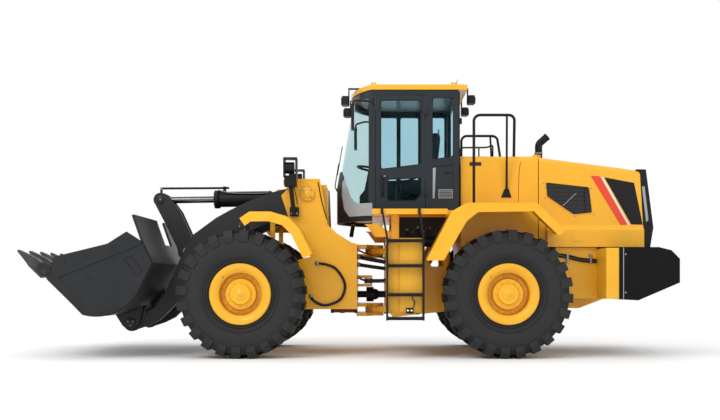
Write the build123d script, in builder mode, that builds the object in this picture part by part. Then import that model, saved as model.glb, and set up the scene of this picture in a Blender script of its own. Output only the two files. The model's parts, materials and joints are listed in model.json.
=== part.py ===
"""Wheel loader: two chassis halves hinged at a centre pivot, a lifting boom with a tilting bucket, four
wheels, a cab with a door, and a hood over the engine. Sizes are in millimetres, with +X forward, +Y left,
+Z up and the ground at Z = 0."""
import os
from math import atan2, cos, hypot, radians, sin
from build123d import *

os.makedirs("parts", exist_ok=True)

# Overall reach from the centre pivot, and where that puts the pivot when the origin is midway
wheelbase = 3300
front_reach = 4356
rear_overhang = 2140
rear_reach = wheelbase / 2 + rear_overhang
pivot_x = (rear_reach - front_reach) / 2

# Wheels and axles
track = 2250
tyre_radius = 795
tyre_width = 600
tread_depth = 45
lug_count = 24
lug_length = 110
bead_radius = 325
rim_flange_radius = 390
rim_width = 500
hub_radius = 205
fender_in = 840
fender_in_rear = 790
fender_out = 1420
fender_skirt = 110
fender_sheet = 24
stub_radius = 110
axle_tube_radius = 140
axle_seat_rise = 165
front_axle_x = wheelbase / 2
rear_axle_x = -wheelbase / 2
axle_z = tyre_radius
wheel_y = track / 2

# Fits
turning_fit = 0.5
side_gap = 5
panel_gap = 6

# Chassis plates
rear_plate_out = 460
rear_plate = 40
front_plate_out = 585
inner_plate_out = 440
front_plate = 40
rear_frame_top = 1150
frame_floor = 590
pivot_pin_radius = 45
upper_lug_z = 1325
lower_lug_z = 540
lug_thickness = 70
fork_thickness = 45
shaft_z = 779

# Boom, bellcrank, link and cylinders, as (x, z) in the carry position
boom_pivot = (875, 2095)
bucket_hinge = (3185, 415)
bellcrank_hinge = (2540, 1360)
bellcrank_top = (2903, 2062)
bellcrank_low = (2340, 660)
bucket_link_pin = (2879, 606)
tilt_base = (1310, 2085)
lift_base = (720, 730)
lift_eye = (1725, 1675)
boom_tube = (2105, 1485)
arm_out = 535
arm_thickness = 80
boom_pin_radius = 60
bucket_pin_radius = 50
link_pin_radius = 45
plate_out = 105
plate_thickness = 40
eye_half = plate_out - plate_thickness - side_gap
lift_y = 300
lift_barrel_radius = 85
lift_rod_radius = 45
lift_barrel_length = 1180
lift_rod_start = 290
tilt_barrel_radius = 105
tilt_rod_radius = 45
tilt_barrel_length = 870
tilt_rod_start = 700
barrel_wall = 15
gland_length = 60

# Steering cylinders, lying level at each side of the pivot
steer_z = 960
steer_base = (-900, 200)
steer_eye = (80, 260)
steer_barrel_radius = 50
steer_rod_radius = 26
steer_barrel_length = 640
steer_rod_start = 420

# Bucket
bucket_half = 1520
bucket_plate = 30
wear_plate = 12
guard_notch = 220
bucket_lip = (3941, 945)
floor_angle = 44.5
tooth_tip_drop = 20
tooth_count = 8
tooth_half = 65
tip_half = 48
floor_lean = radians(floor_angle)
tooth_reach = (front_reach - bucket_lip[0] - tooth_tip_drop * sin(floor_lean)) / cos(floor_lean)

# Cab
cab_half = 780
cab_rear = -1088
cab_side_front = 28
cab_nose = 510
cab_nose_top = 300
cab_wall = 50
cab_sill = 1783
cab_floor_top = cab_sill + 87
cab_height = 1551
cab_waist = cab_floor_top + 351
cab_top = cab_floor_top + cab_height
nose_low = cab_sill - 50
roof_top = cab_top + 69
roof_front = 317
roof_rear = -1198
roof_half = 800
door_front = -10
door_rear = -661
door_top = cab_top - 71
window_top = cab_top - 100
pillar_front = cab_side_front + 47
glass_inset = 20
glass_thickness = 12

# Hood and rear body
hood_half = 700
hood_edge = 70
engine_top = 2050
exhaust_x = -2245
exhaust_radius = 50
hood_top_front = 2565
hood_wall = 30
hinge_z = hood_top_front + 36
cowl_front = -1120
cowl_rear = -2120
hood_front = cowl_rear - 10
hood_rear = 350 - rear_reach
hood_bottom = 1398
hood_crease = 1675
crease_length = 1210
counterweight_half = 1250
counterweight_front = 753 - rear_reach
counterweight_top = 1379
tow_x = 90 - rear_reach
tow_half = 120
tow_top = 1120
tow_thickness = 140
tow_bore = 30
deck_top = cab_floor_top - 10
deck_low = deck_top - 70
deck_out = 1180
fender_top = 1915
tank_out = 1250
tank_inner = 800
tank_front = -145
tank_rear = -618
tank_top = cab_sill - 293


def side(y):
    """Plane seen from the right: local x runs forward from the pivot, local y runs up."""
    return Plane(origin=(pivot_x, y, 0), x_dir=(1, 0, 0), z_dir=(0, -1, 0))


def level(z):
    """Level plane: local x runs forward from the pivot, local y runs left."""
    return Plane(origin=(pivot_x, 0, z))


def across(x):
    """Plane across the machine: local x runs left, local y runs up."""
    return Plane(origin=(pivot_x + x, 0, 0), x_dir=(0, 1, 0), z_dir=(1, 0, 0))


def slab(points, left, right, mode=Mode.ADD):
    """Flat plate with a side outline, from y = left down to y = right."""
    with BuildSketch(side(left)) as outline:
        with BuildLine():
            Polyline(*points, close=True)
        make_face()
    extrude(outline.sketch, amount=left - right, mode=mode)


def slab_pair(points, outer, inner, mode=Mode.ADD):
    """The same plate on the left and on the right."""
    slab(points, outer, inner, mode)
    slab(points, -inner, -outer, mode)


def cross_bar(centre, radius, left, right, mode=Mode.ADD):
    """Round bar lying across the machine."""
    with BuildSketch(side(left)) as ring:
        with Locations(centre):
            Circle(radius)
    extrude(ring.sketch, amount=left - right, mode=mode)


def cross_pair(centre, radius, outer, inner, mode=Mode.ADD):
    """The same cross bar on the left and on the right."""
    cross_bar(centre, radius, outer, inner, mode)
    cross_bar(centre, radius, -inner, -outer, mode)


def box(x_span, y_span, z_span, mode=Mode.ADD):
    """Block between two x, two y and two z values."""
    with BuildSketch(level(min(z_span))) as outline:
        with Locations(((x_span[0] + x_span[1]) / 2, (y_span[0] + y_span[1]) / 2)):
            Rectangle(abs(x_span[1] - x_span[0]), abs(y_span[1] - y_span[0]))
    extrude(outline.sketch, amount=abs(z_span[1] - z_span[0]), mode=mode)


def box_pair(x_span, outer, inner, z_span, mode=Mode.ADD):
    """The same block on the left and on the right."""
    box(x_span, (inner, outer), z_span, mode)
    box(x_span, (-outer, -inner), z_span, mode)


def rod(start, end, radius, mode=Mode.ADD):
    """Straight round bar between two points."""
    first = Vector(pivot_x + start[0], start[1], start[2])
    last = Vector(pivot_x + end[0], end[1], end[2])
    with BuildSketch(Plane(origin=first, z_dir=last - first)) as ring:
        Circle(radius)
    extrude(ring.sketch, amount=(last - first).length, mode=mode)


def post(x, y, radius, low, high, mode=Mode.ADD):
    """Upright round bar."""
    rod((x, y, low), (x, y, high), radius, mode)


def rail(points, radius, bend):
    """Bent round tube through a few corner points."""
    with BuildLine() as path:
        FilletPolyline(*[(pivot_x + x, y, z) for x, y, z in points], radius=bend)
    with BuildSketch(path.line ^ 0) as ring:
        Circle(radius)
    sweep(ring.sketch, path=path.line)


def beam(points, x_span):
    """Bar with an outline across the machine, between two x values."""
    with BuildSketch(across(min(x_span))) as outline:
        with BuildLine():
            Polyline(*points, close=True)
        make_face()
    extrude(outline.sketch, amount=abs(x_span[1] - x_span[0]))


def strip(points, thickness, left, right):
    """Bent sheet following a side outline."""
    with BuildSketch(side(left)) as outline:
        with BuildLine() as path:
            Polyline(*points)
        trace(path.line, line_width=thickness)
    extrude(outline.sketch, amount=left - right)


def between(start, end, distance):
    """Point at a distance along the line from start to end."""
    length = hypot(end[0] - start[0], end[1] - start[1])
    return tuple(a + (b - a) * distance / length for a, b in zip(start, end))


def save(built, label):
    """Name a finished piece and write its file."""
    built.part.label = label
    export_step(built.part, f"parts/{label}.step")


# Wheels: a lugged tyre and a dished rim, made once and set at each corner
def wheel_plane(x, y):
    """Level plane through the centre of a wheel."""
    return Plane(origin=(pivot_x + x, y, axle_z), x_dir=(1, 0, 0), z_dir=(0, 0, 1))


def wheel_axis(x, y):
    """Line across the machine that a wheel turns on."""
    return Axis((pivot_x + x, y, axle_z), (0, 1, 0))


def lug_plane(angle):
    """Plane through the wheel's axis: local x runs along the axis, local y runs outward."""
    return Plane(origin=(0, 0, 0), x_dir=(0, 1, 0), z_dir=(sin(radians(angle)), 0, -cos(radians(angle))))


corners = {
    "front_left": (front_axle_x, wheel_y, 0),
    "front_right": (front_axle_x, -wheel_y, 180),
    "rear_left": (rear_axle_x, wheel_y, 0),
    "rear_right": (rear_axle_x, -wheel_y, 180),
}
half = tyre_width / 2
seat_half = rim_width / 2 - 20
rim_half = rim_width / 2
tread_base = tyre_radius - tread_depth
lug_top = (tyre_radius ** 2 - (lug_length / 2) ** 2) ** 0.5
shoulder = tread_base - 60
side_middle = (rim_flange_radius + shoulder) / 2
side_low = rim_flange_radius + 40
with BuildPart() as tyre_form:
    with BuildSketch():
        with BuildLine():
            Polyline((shoulder, 30 - half), (tread_base, 75 - half), (tread_base, half - 75),
                     (shoulder, half - 30))
            ThreePointArc((shoulder, half - 30), (side_middle, half - 12), (side_low, seat_half + 10))
            Polyline((side_low, seat_half + 10), (rim_flange_radius, seat_half), (bead_radius, seat_half),
                     (bead_radius, -seat_half), (rim_flange_radius, -seat_half), (side_low, -seat_half - 10))
            ThreePointArc((side_low, -seat_half - 10), (side_middle, 12 - half), (shoulder, 30 - half))
        make_face()
    revolve(axis=Axis.Y)
    for row in (1, -1):
        turns = [(number + 0.25 * row) * 360 / lug_count - 90 for number in range(lug_count)]
        with BuildSketch(*[lug_plane(turn) for turn in turns]):
            with BuildLine():
                Polyline((row * 25, tread_base - 15), (row * 25, lug_top), (row * (half - 50), lug_top),
                         (row * half, tread_base - 35), (row * (half - 4), tread_base - 105),
                         (row * (half - 45), tread_base - 60), close=True)
            make_face()
        extrude(amount=lug_length / 2, both=True)

disc_in = 60
disc_out = 100
hub_face = 235
with BuildPart() as rim_form:
    with BuildSketch():
        with BuildLine():
            Polyline((bead_radius, -seat_half), (bead_radius, seat_half), (rim_flange_radius, seat_half),
                     (rim_flange_radius, rim_half), (bead_radius + 15, rim_half),
                     (bead_radius - 25, rim_half - 70),
                     (bead_radius - 25, -rim_half), (rim_flange_radius, -rim_half),
                     (rim_flange_radius, -seat_half),
                     close=True)
        make_face()
    revolve(axis=Axis.Y)
    with BuildSketch():
        with BuildLine():
            Polyline((0, disc_in), (bead_radius - 20, disc_in), (bead_radius - 20, disc_out),
                     (hub_radius + 45, disc_out), (hub_radius + 45, disc_out + 20),
                     (hub_radius, disc_out + 20),
                     (hub_radius - 20, hub_face - 50), (hub_radius - 65, hub_face - 50),
                     (hub_radius - 85, hub_face),
                     (0, hub_face), close=True)
        make_face()
    revolve(axis=Axis.Y)
    with BuildSketch():
        with BuildLine():
            Polyline((0, disc_in - 1), (stub_radius + turning_fit, disc_in - 1),
                     (stub_radius + turning_fit, 180),
                     (0, 180), close=True)
        make_face()
    revolve(axis=Axis.Y, mode=Mode.SUBTRACT)

for corner, (x, y, turn) in corners.items():
    place = Location((pivot_x + x, y, axle_z), (0, 0, turn))
    with BuildPart() as tyre:
        add(tyre_form.part.moved(place))
    save(tyre, f"tyre_{corner}")
    with BuildPart() as rim:
        add(rim_form.part.moved(place))
    save(rim, f"rim_{corner}")


# Axles: a tube with a differential, end flanges and stubs that carry the rims
def axle(x):
    flange_out = wheel_y + 55
    cross_bar((x, axle_z), axle_tube_radius, wheel_y - 30, 30 - wheel_y)
    cross_pair((x, axle_z), hub_radius, flange_out, wheel_y - 60)
    cross_bar((x, axle_z), stub_radius, wheel_y + 175, -wheel_y - 175)
    with BuildSketch(wheel_plane(x, 0)) as bowl:
        with BuildLine():
            Line((0, -260), (0, 260))
            ThreePointArc((0, 260), (260, 0), (0, -260))
        make_face()
    revolve(bowl.sketch, axis=wheel_axis(x, 0))


with BuildPart() as front_axle:
    axle(front_axle_x)
    box_pair((front_axle_x - 180, front_axle_x + 180), front_plate_out, front_plate_out - 160,
             (axle_z, axle_z + axle_seat_rise))
save(front_axle, "front_axle")

with BuildPart() as rear_axle:
    axle(rear_axle_x)
    box_pair((rear_axle_x - 180, rear_axle_x + 180), rear_plate_out, rear_plate_out - 120,
             (axle_z, axle_z + axle_seat_rise))
save(rear_axle, "rear_axle")


# Rear frame: two side plates, hinge lugs, cross plates, cab posts and cylinder brackets
def pivot_lug(z, thickness, reach, width):
    """Level hinge plate that ends in a round eye about the pivot."""
    with BuildSketch(level(z)) as outline:
        with BuildLine():
            Polyline((reach, width), (reach * 0.45, width), (0, 120), (0, -120), (reach * 0.45, -width),
                     (reach, -width), close=True)
        make_face()
        Circle(125)
    extrude(outline.sketch, amount=thickness)


seat_z = axle_z + axle_seat_rise
rear_plate_in = rear_plate_out - rear_plate
with BuildPart() as rear_frame:
    slab_pair([
        (-230, lower_lug_z - 60), (-230, 1400), (-520, 1400), (-760, rear_frame_top),
        (counterweight_front, rear_frame_top), (counterweight_front, 730), (counterweight_front + 337, 600),
        (rear_axle_x - 320, 600), (rear_axle_x - 270, seat_z), (rear_axle_x + 270, seat_z),
        (rear_axle_x + 320, 600)],
              rear_plate_out, rear_plate_in)
    pivot_lug(upper_lug_z, lug_thickness, -520, rear_plate_in)
    pivot_lug(lower_lug_z, lug_thickness, -520, rear_plate_in)
    post(0, 0, pivot_pin_radius + turning_fit, lower_lug_z - 10, upper_lug_z + lug_thickness + 10,
         mode=Mode.SUBTRACT)
    box((-1000, -960), (-rear_plate_in, rear_plate_in), (860, rear_frame_top))
    box((-2100, -2060), (-rear_plate_in, rear_plate_in), (800, rear_frame_top))
    box((counterweight_front, counterweight_front + 40), (-rear_plate_in, rear_plate_in),
        (760, rear_frame_top))
    for left in (1, -1):
        y = left * steer_base[1]
        box((-960, steer_base[0] + 60), (y - 60, y + 60), (steer_z - 75, steer_z - 40))
        box((-960, steer_base[0] + 60), (y - 60, y + 60), (steer_z + 40, steer_z + 75))
        post(steer_base[0], y, 30, steer_z - 75, steer_z + 75)
        post(-300, left * (rear_plate_out - 30), 50, 1390, cab_sill)
        post(-950, left * (rear_plate_out - 30), 50, rear_frame_top - 10, cab_sill)
        box((-430, -330), (left * rear_plate_in, left * tank_inner), (850, 1000))
        box((counterweight_front, counterweight_front + 159),
            (left * rear_plate_in, left * (counterweight_half - 10)), (735, counterweight_top - 9))
    bracket_front = counterweight_front + 159
    slab_pair([(bracket_front, 735), (bracket_front, hood_bottom - panel_gap),
               (rear_axle_x - 700, hood_bottom - panel_gap),
               (rear_axle_x - 700, 1290), (rear_axle_x - 900, 735)], hood_half, hood_half - hood_wall)
save(rear_frame, "rear_frame")

with BuildPart() as counterweight:
    slab([
        (counterweight_front, 729), (counterweight_front, counterweight_top),
        (260 - rear_reach, counterweight_top),
        (106 - rear_reach, counterweight_top - 38), (-rear_reach, counterweight_top - 146),
        (-rear_reach, 938),
        (counterweight_front - 238, 717)], counterweight_half, -counterweight_half)
    box((-rear_reach, tow_x + 90), (-tow_half, tow_half), (tow_top, counterweight_top), mode=Mode.SUBTRACT)
    box((-rear_reach, tow_x + 90), (-tow_half, tow_half), (600, tow_top - tow_thickness), mode=Mode.SUBTRACT)
    post(tow_x, 0, tow_bore, 600, counterweight_top, mode=Mode.SUBTRACT)
    for left in (1, -1):
        box((-rear_reach, 60 - rear_reach), (left * 700, left * 1050), (980, 1180), mode=Mode.SUBTRACT)
save(counterweight, "counterweight")

with BuildPart() as engine:
    box((-1500, 990 - rear_reach), (-rear_plate_out, rear_plate_out), (rear_frame_top, rear_frame_top + 90))
    box((-1450, 940 - rear_reach), (-330, 330), (rear_frame_top + 90, engine_top))
save(engine, "engine")

with BuildPart() as radiator:
    box((740 - rear_reach, 460 - rear_reach), (-560, 560), (counterweight_top, 2260))
save(radiator, "radiator")

# Drive shaft: a ball on the rear half turns in a cup on the front half, both centred on the pivot
with BuildPart() as rear_shaft:
    rod((rear_axle_x + 100, 0, shaft_z), (0, 0, shaft_z), 45)
    add(rear_axle.part, mode=Mode.SUBTRACT)
    with BuildSketch(Plane(origin=(pivot_x, 0, shaft_z), x_dir=(1, 0, 0), z_dir=(0, -1, 0))):
        with BuildLine():
            Line((-75, 0), (75, 0))
            ThreePointArc((75, 0), (0, 75), (-75, 0))
        make_face()
    revolve(axis=Axis((pivot_x, 0, shaft_z), (1, 0, 0)))
save(rear_shaft, "rear_drive_shaft")

with BuildPart() as front_shaft:
    rod((90, 0, shaft_z), (front_axle_x - 100, 0, shaft_z), 45)
    add(front_axle.part, mode=Mode.SUBTRACT)
    rod((10, 0, shaft_z), (110, 0, shaft_z), 100)
    with BuildSketch(Plane(origin=(pivot_x, 0, shaft_z), x_dir=(1, 0, 0), z_dir=(0, -1, 0))):
        with BuildLine():
            Line((-75 - turning_fit, 0), (75 + turning_fit, 0))
            ThreePointArc((75 + turning_fit, 0), (0, 75 + turning_fit), (-75 - turning_fit, 0))
        make_face()
    revolve(axis=Axis((pivot_x, 0, shaft_z), (1, 0, 0)), mode=Mode.SUBTRACT)
save(front_shaft, "front_drive_shaft")

# Front frame: a tower of plates for the boom, a hinge fork at the rear and axle seats
tower = [
    (228, frame_floor), (228, 1441), (308, 1467), (490, 1581), (616, 1696), (659, 2014), (715, 2294),
    (1009, 2294),
    (1219, 2077), (1121, 1785), (841, 1276), (1300, 1150), (1980, 1080), (1980, 800),
    (front_axle_x + 270, seat_z),
    (front_axle_x - 270, seat_z), (front_axle_x - 320, 600), (841, frame_floor)]
front_plate_in = front_plate_out - front_plate
inner_plate_in = inner_plate_out - front_plate
with BuildPart() as front_frame:
    slab_pair(tower, front_plate_out, front_plate_in)
    slab_pair([(600, 1500), (630, 2230), (1150, 2230), (1200, 2000), (1000, 1500)], inner_plate_out,
              inner_plate_in)
    box((228, 268), (-front_plate_in, front_plate_in), (frame_floor, 1441))
    box((560, 760), (-front_plate_in, front_plate_in), (1500, 1560))
    box((640, 720), (-inner_plate_in, inner_plate_in), (1560, 2230))
    box((228, 1300), (-front_plate_in, front_plate_in), (frame_floor, frame_floor + 30))
    box((1940, 1980), (-front_plate_in, front_plate_in), (800, 1080))
    rod((200, 0, shaft_z), (300, 0, shaft_z), 140, mode=Mode.SUBTRACT)
    slab_pair([
        (700, 1900), (700, 2200), (tilt_base[0], tilt_base[1] + 110), (tilt_base[0] + 110, tilt_base[1]),
        (tilt_base[0], tilt_base[1] - 110)], plate_out + 45, plate_out)
    cross_pair(tilt_base, link_pin_radius + turning_fit, plate_out + 50, plate_out - 5, mode=Mode.SUBTRACT)
    cross_pair(boom_pivot, boom_pin_radius, front_plate_out + 15, inner_plate_in)
    cross_pair(lift_base, boom_pin_radius, front_plate_in, lift_y - 125)
    slab_pair([(lift_base[0] - 110, frame_floor), (lift_base[0] - 80, lift_base[1] + 60),
               (lift_base[0] + 80, lift_base[1] + 60), (lift_base[0] + 110, frame_floor)], lift_y - 85,
               lift_y - 125)
    for z in (upper_lug_z, lower_lug_z):
        pivot_lug(z - side_gap - fork_thickness, fork_thickness, 240, 300)
        pivot_lug(z + lug_thickness + side_gap, fork_thickness, 240, 300)
    post(0, 0, pivot_pin_radius, upper_lug_z - side_gap, upper_lug_z + lug_thickness + side_gap)
    post(0, 0, pivot_pin_radius, lower_lug_z - side_gap, lower_lug_z + lug_thickness + side_gap)
    for left in (1, -1):
        y = left * steer_eye[1]
        box((steer_eye[0] - 50, 240), (y - 60, y + 60), (steer_z - 75, steer_z - 40))
        box((steer_eye[0] - 50, 240), (y - 60, y + 60), (steer_z + 40, steer_z + 75))
        box((1000, 1060), (left * front_plate_in, left * fender_in), (1640, 1700))
        box((1300, 1360), (left * front_plate_in, left * front_plate_out), (1100, 1810))
        box((1300, 1360), (left * front_plate_in, left * fender_in), (1750, 1810))
save(front_frame, "front_frame")

# Fenders over the wheels, each a bent sheet with an upright skirt along its outer edge
def skirt(points, centre, depth, left, right):
    """Upright band along the edge of a fender, reaching in toward the wheel."""
    strip([between(point, centre, depth / 2) for point in points], depth, left, right)


front_arch = [
    (front_axle_x - 875, 1285), (front_axle_x - 714, 1600), (front_axle_x - 581, 1734),
    (front_axle_x - 380, 1795),
    (front_axle_x - 126, 1795), (front_axle_x - 33, 1734)]
with BuildPart() as front_fenders:
    for inner, edge in ((fender_in, fender_out), (-fender_out, fender_sheet - fender_out)):
        strip(front_arch, fender_sheet, inner + fender_out - fender_in, inner)
        skirt(front_arch, (front_axle_x, axle_z), fender_skirt, edge, edge - fender_sheet)
save(front_fenders, "front_fenders")

rear_arch = [
    (rear_axle_x + 1000, 1209), (rear_axle_x + 690, 1800), (rear_axle_x + 520, fender_top - 15),
    (rear_axle_x - 331, fender_top - 15), (rear_axle_x - 463, 1772), (rear_axle_x - 674, 1568)]
with BuildPart() as rear_fenders:
    for inner in (fender_in_rear, -fender_out):
        strip(rear_arch, 30, inner + fender_out - fender_in_rear, inner)
    slab_pair(rear_arch + [
        (rear_axle_x - 610, 1510), (rear_axle_x - 410, 1700), (rear_axle_x - 300, fender_top - 105),
        (rear_axle_x + 380, fender_top - 115), (rear_axle_x + 520, 1690), (rear_axle_x + 800, 1209)],
              fender_out, fender_out - fender_sheet)
    box_pair((-1950, -1250), fender_in_rear, hood_half, (fender_top - 30, fender_top))
save(rear_fenders, "rear_fenders")

# Boom: two arms, a cross tube and plates that carry the bellcrank
arm_in = arm_out - arm_thickness
arm = [
    (760, 2190), (900, 2240), (1153, 2170), (1335, 2126), (1658, 2004), (1897, 1889), (2080, 1787),
    (2389, 1560),
    (2530, 1300), (2640, 1040), (2760, 790), (2900, 600), (3060, 500), bucket_hinge, (3185, 300), (2970, 370),
    (2815, 446), (2560, 700), (2150, 1230), (1700, 1580), (1167, 1826), (900, 1950), (760, 2000)]
with BuildPart() as boom:
    slab_pair(arm, arm_out, arm_in)
    cross_pair(boom_pivot, 150, arm_out, arm_in)
    cross_pair(bucket_hinge, 115, arm_out, arm_in)
    cross_bar(boom_tube, 130, arm_in, -arm_in)
    slab_pair([(boom_tube[0], boom_tube[1] + 120), bellcrank_hinge, (boom_tube[0], boom_tube[1] - 120)],
              plate_out + side_gap + 40, plate_out + side_gap)
    cross_pair(bellcrank_hinge, 120, plate_out + side_gap + 40, plate_out + side_gap)
    cross_pair(lift_eye, 75, arm_in, lift_y + 45)
    cross_pair(boom_pivot, boom_pin_radius + turning_fit, arm_out + 5, arm_in - 5, mode=Mode.SUBTRACT)
    cross_pair(bucket_hinge, bucket_pin_radius + turning_fit, arm_out + 5, arm_in - 5, mode=Mode.SUBTRACT)
    cross_bar(bellcrank_hinge, bucket_pin_radius + turning_fit, 200, -200, mode=Mode.SUBTRACT)
save(boom, "boom")

with BuildPart() as bellcrank_pin:
    cross_bar(bellcrank_hinge, bucket_pin_radius, plate_out + side_gap + 45, -plate_out - side_gap - 45)
save(bellcrank_pin, "bellcrank_pin")

crank = [
    (2990, 2030), (2960, 2130), (2850, 2150), (2778, 2100), (2632, 1901), (2493, 1596), (2420, 1360),
    (2250, 680),
    (2430, 640), (2640, 1300), (2690, 1440), (2840, 1742)]
plate_in = plate_out - plate_thickness
with BuildPart() as bellcrank:
    slab_pair(crank, plate_out, plate_in)
    cross_pair(bellcrank_top, 95, plate_out, plate_in)
    cross_pair(bellcrank_low, 95, plate_out, plate_in)
    cross_bar(bellcrank_hinge, 125, plate_out, -plate_out)
    cross_bar(bellcrank_hinge, bucket_pin_radius + turning_fit, 200, -200, mode=Mode.SUBTRACT)
save(bellcrank, "bellcrank")

# Tilt cylinder, from the tower to the bellcrank
def cylinder_barrel(start, end, y, radius, rod_radius, length, eye_radius, eye_width, pin_radius):
    """Barrel with a base eye, a bore and a gland for the rod."""
    tube_from = between(start, end, eye_radius)
    bore_from = between(start, end, eye_radius + 40)
    gland = between(start, end, length - gland_length)
    tip = between(start, end, length)
    cross_bar(start, eye_radius, y + eye_width, y - eye_width)
    rod((tube_from[0], y, tube_from[1]), (tip[0], y, tip[1]), radius)
    neck = between(start, end, eye_radius * 0.5)
    rod((neck[0], y, neck[1]), (bore_from[0], y, bore_from[1]), eye_width)
    rod((bore_from[0], y, bore_from[1]), (gland[0], y, gland[1]), radius - barrel_wall, mode=Mode.SUBTRACT)
    rod((gland[0], y, gland[1]), (tip[0], y, tip[1]), rod_radius + turning_fit, mode=Mode.SUBTRACT)
    cross_bar(start, pin_radius + turning_fit, y + eye_width + 5, y - eye_width - 5, mode=Mode.SUBTRACT)


def cylinder_rod(start, end, y, rod_radius, rod_start, eye_radius, eye_width, pin_radius):
    """Rod with an eye at its far end."""
    length = hypot(end[0] - start[0], end[1] - start[1])
    inner = between(start, end, rod_start)
    outer = between(start, end, length - eye_radius * 0.5)
    rod((inner[0], y, inner[1]), (outer[0], y, outer[1]), rod_radius)
    cross_bar(end, eye_radius, y + eye_width, y - eye_width)
    cross_bar(end, pin_radius, y + eye_width + 5, y - eye_width - 5, mode=Mode.SUBTRACT)


with BuildPart() as tilt_pin:
    cross_bar(tilt_base, link_pin_radius, plate_out + 50, -plate_out - 50)
save(tilt_pin, "tilt_cylinder_pin")

with BuildPart() as tilt_barrel:
    cylinder_barrel(tilt_base, bellcrank_top, 0, tilt_barrel_radius, tilt_rod_radius, tilt_barrel_length,
                    90, eye_half, link_pin_radius)
save(tilt_barrel, "tilt_cylinder_barrel")

with BuildPart() as tilt_rod:
    cylinder_rod(tilt_base, bellcrank_top, 0, tilt_rod_radius, tilt_rod_start, 85, eye_half, link_pin_radius)
save(tilt_rod, "tilt_cylinder_rod")

# Lift cylinders, one under each arm
with BuildPart() as lift_barrels:
    for y in (lift_y, -lift_y):
        cylinder_barrel(lift_base, lift_eye, y, lift_barrel_radius, lift_rod_radius, lift_barrel_length,
                        100, 60, boom_pin_radius)
save(lift_barrels, "lift_cylinder_barrels")

with BuildPart() as lift_rods:
    for y in (lift_y, -lift_y):
        cylinder_rod(lift_base, lift_eye, y, lift_rod_radius, lift_rod_start, 80, 40, boom_pin_radius)
save(lift_rods, "lift_cylinder_rods")

# Steering cylinders
for name, left in (("left", 1), ("right", -1)):
    base = (steer_base[0], left * steer_base[1])
    eye = (steer_eye[0], left * steer_eye[1])
    with BuildPart() as steer_barrel:
        neck = between(base, eye, 30)
        bore = between(base, eye, 100)
        gland = between(base, eye, steer_barrel_length - gland_length)
        tip = between(base, eye, steer_barrel_length)
        post(*base, 60, steer_z - 35, steer_z + 35)
        rod((*neck, steer_z), (*bore, steer_z), 33)
        rod((*between(base, eye, 70), steer_z), (*tip, steer_z), steer_barrel_radius)
        rod((*bore, steer_z), (*gland, steer_z), steer_barrel_radius - 10, mode=Mode.SUBTRACT)
        rod((*gland, steer_z), (*tip, steer_z), steer_rod_radius + turning_fit, mode=Mode.SUBTRACT)
        post(*base, 30 + turning_fit, steer_z - 40, steer_z + 40, mode=Mode.SUBTRACT)
    save(steer_barrel, f"steer_barrel_{name}")

    with BuildPart() as steer_rod:
        span = hypot(eye[0] - base[0], eye[1] - base[1])
        inner = between(base, eye, steer_rod_start)
        outer = between(base, eye, span - 30)
        rod((*inner, steer_z), (*outer, steer_z), steer_rod_radius)
        post(*eye, 55, steer_z - 35, steer_z + 35)
        post(*eye, 30, steer_z - 40, steer_z + 40, mode=Mode.SUBTRACT)
    save(steer_rod, f"steer_rod_{name}")


# Bucket: a bent sheet, two side plates, hinge lugs and the toothed edge
def on_floor(along, above):
    """Point along the bucket floor from its lip, and above its outer face."""
    x = bucket_lip[0] + along * cos(floor_lean) - above * sin(floor_lean)
    z = bucket_lip[1] + along * sin(floor_lean) + above * cos(floor_lean)
    return (x, z)


floor_end = (3548, 559)
heel = (3111, 604)
back_start = (2852, 874)
rear_corner = (2703, 1180)
back_top = (2826, 1439)
guard_top = (2940, 1764)
lug_pair = [(arm_out + 10 + 45, arm_out + 10), (arm_in - 10, arm_in - 10 - 45)]
side_face = bucket_half - wear_plate
side_top = [(3008, 1557), (3241, 1410), (3889, 1251)]
with BuildPart() as bucket:
    with BuildSketch(side(side_face - bucket_plate)):
        with BuildLine() as sheet:
            Line(on_floor(0, bucket_plate / 2), floor_end)
            ThreePointArc(floor_end, heel, back_start)
            Polyline(back_start, rear_corner, back_top, guard_top)
        trace(sheet.line, line_width=bucket_plate)
    extrude(amount=2 * (side_face - bucket_plate))
    slab([(2700, back_top[1]), (2700, 1900), (3100, 1900), (3100, back_top[1])], guard_notch, -guard_notch,
         mode=Mode.SUBTRACT)
    for left in (side_face, bucket_plate - side_face):
        with BuildSketch(side(left)):
            with BuildLine():
                Line(on_floor(60, 0), floor_end)
                ThreePointArc(floor_end, heel, back_start)
                Polyline(back_start, rear_corner, back_top, *side_top, on_floor(60, 0))
            make_face()
        extrude(amount=bucket_plate)
    slab_pair([back_top, *side_top, (3915, 969), (2826, 1404)], bucket_half, side_face)
    slab_pair([on_floor(40, 0), on_floor(40, 110), on_floor(-480, 110), on_floor(-480, 0)], bucket_half,
              side_face)
    for outer, inner in lug_pair:
        slab_pair([(3185, 300), (3290, 370), (3400, 545), (3020, 680), (3075, 400)], outer, inner)
    for outer, inner in lug_pair:
        cross_pair(bucket_hinge, bucket_pin_radius + turning_fit, outer + 5, inner - 5, mode=Mode.SUBTRACT)
    slab_pair([(2879, 500), (2960, 560), (3060, 660), (2860, 890), (2800, 700), (2790, 560)], plate_out,
              plate_in)
    cross_pair(bucket_link_pin, link_pin_radius + turning_fit, plate_out + 5, plate_in - 5,
               mode=Mode.SUBTRACT)
save(bucket, "bucket")

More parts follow.
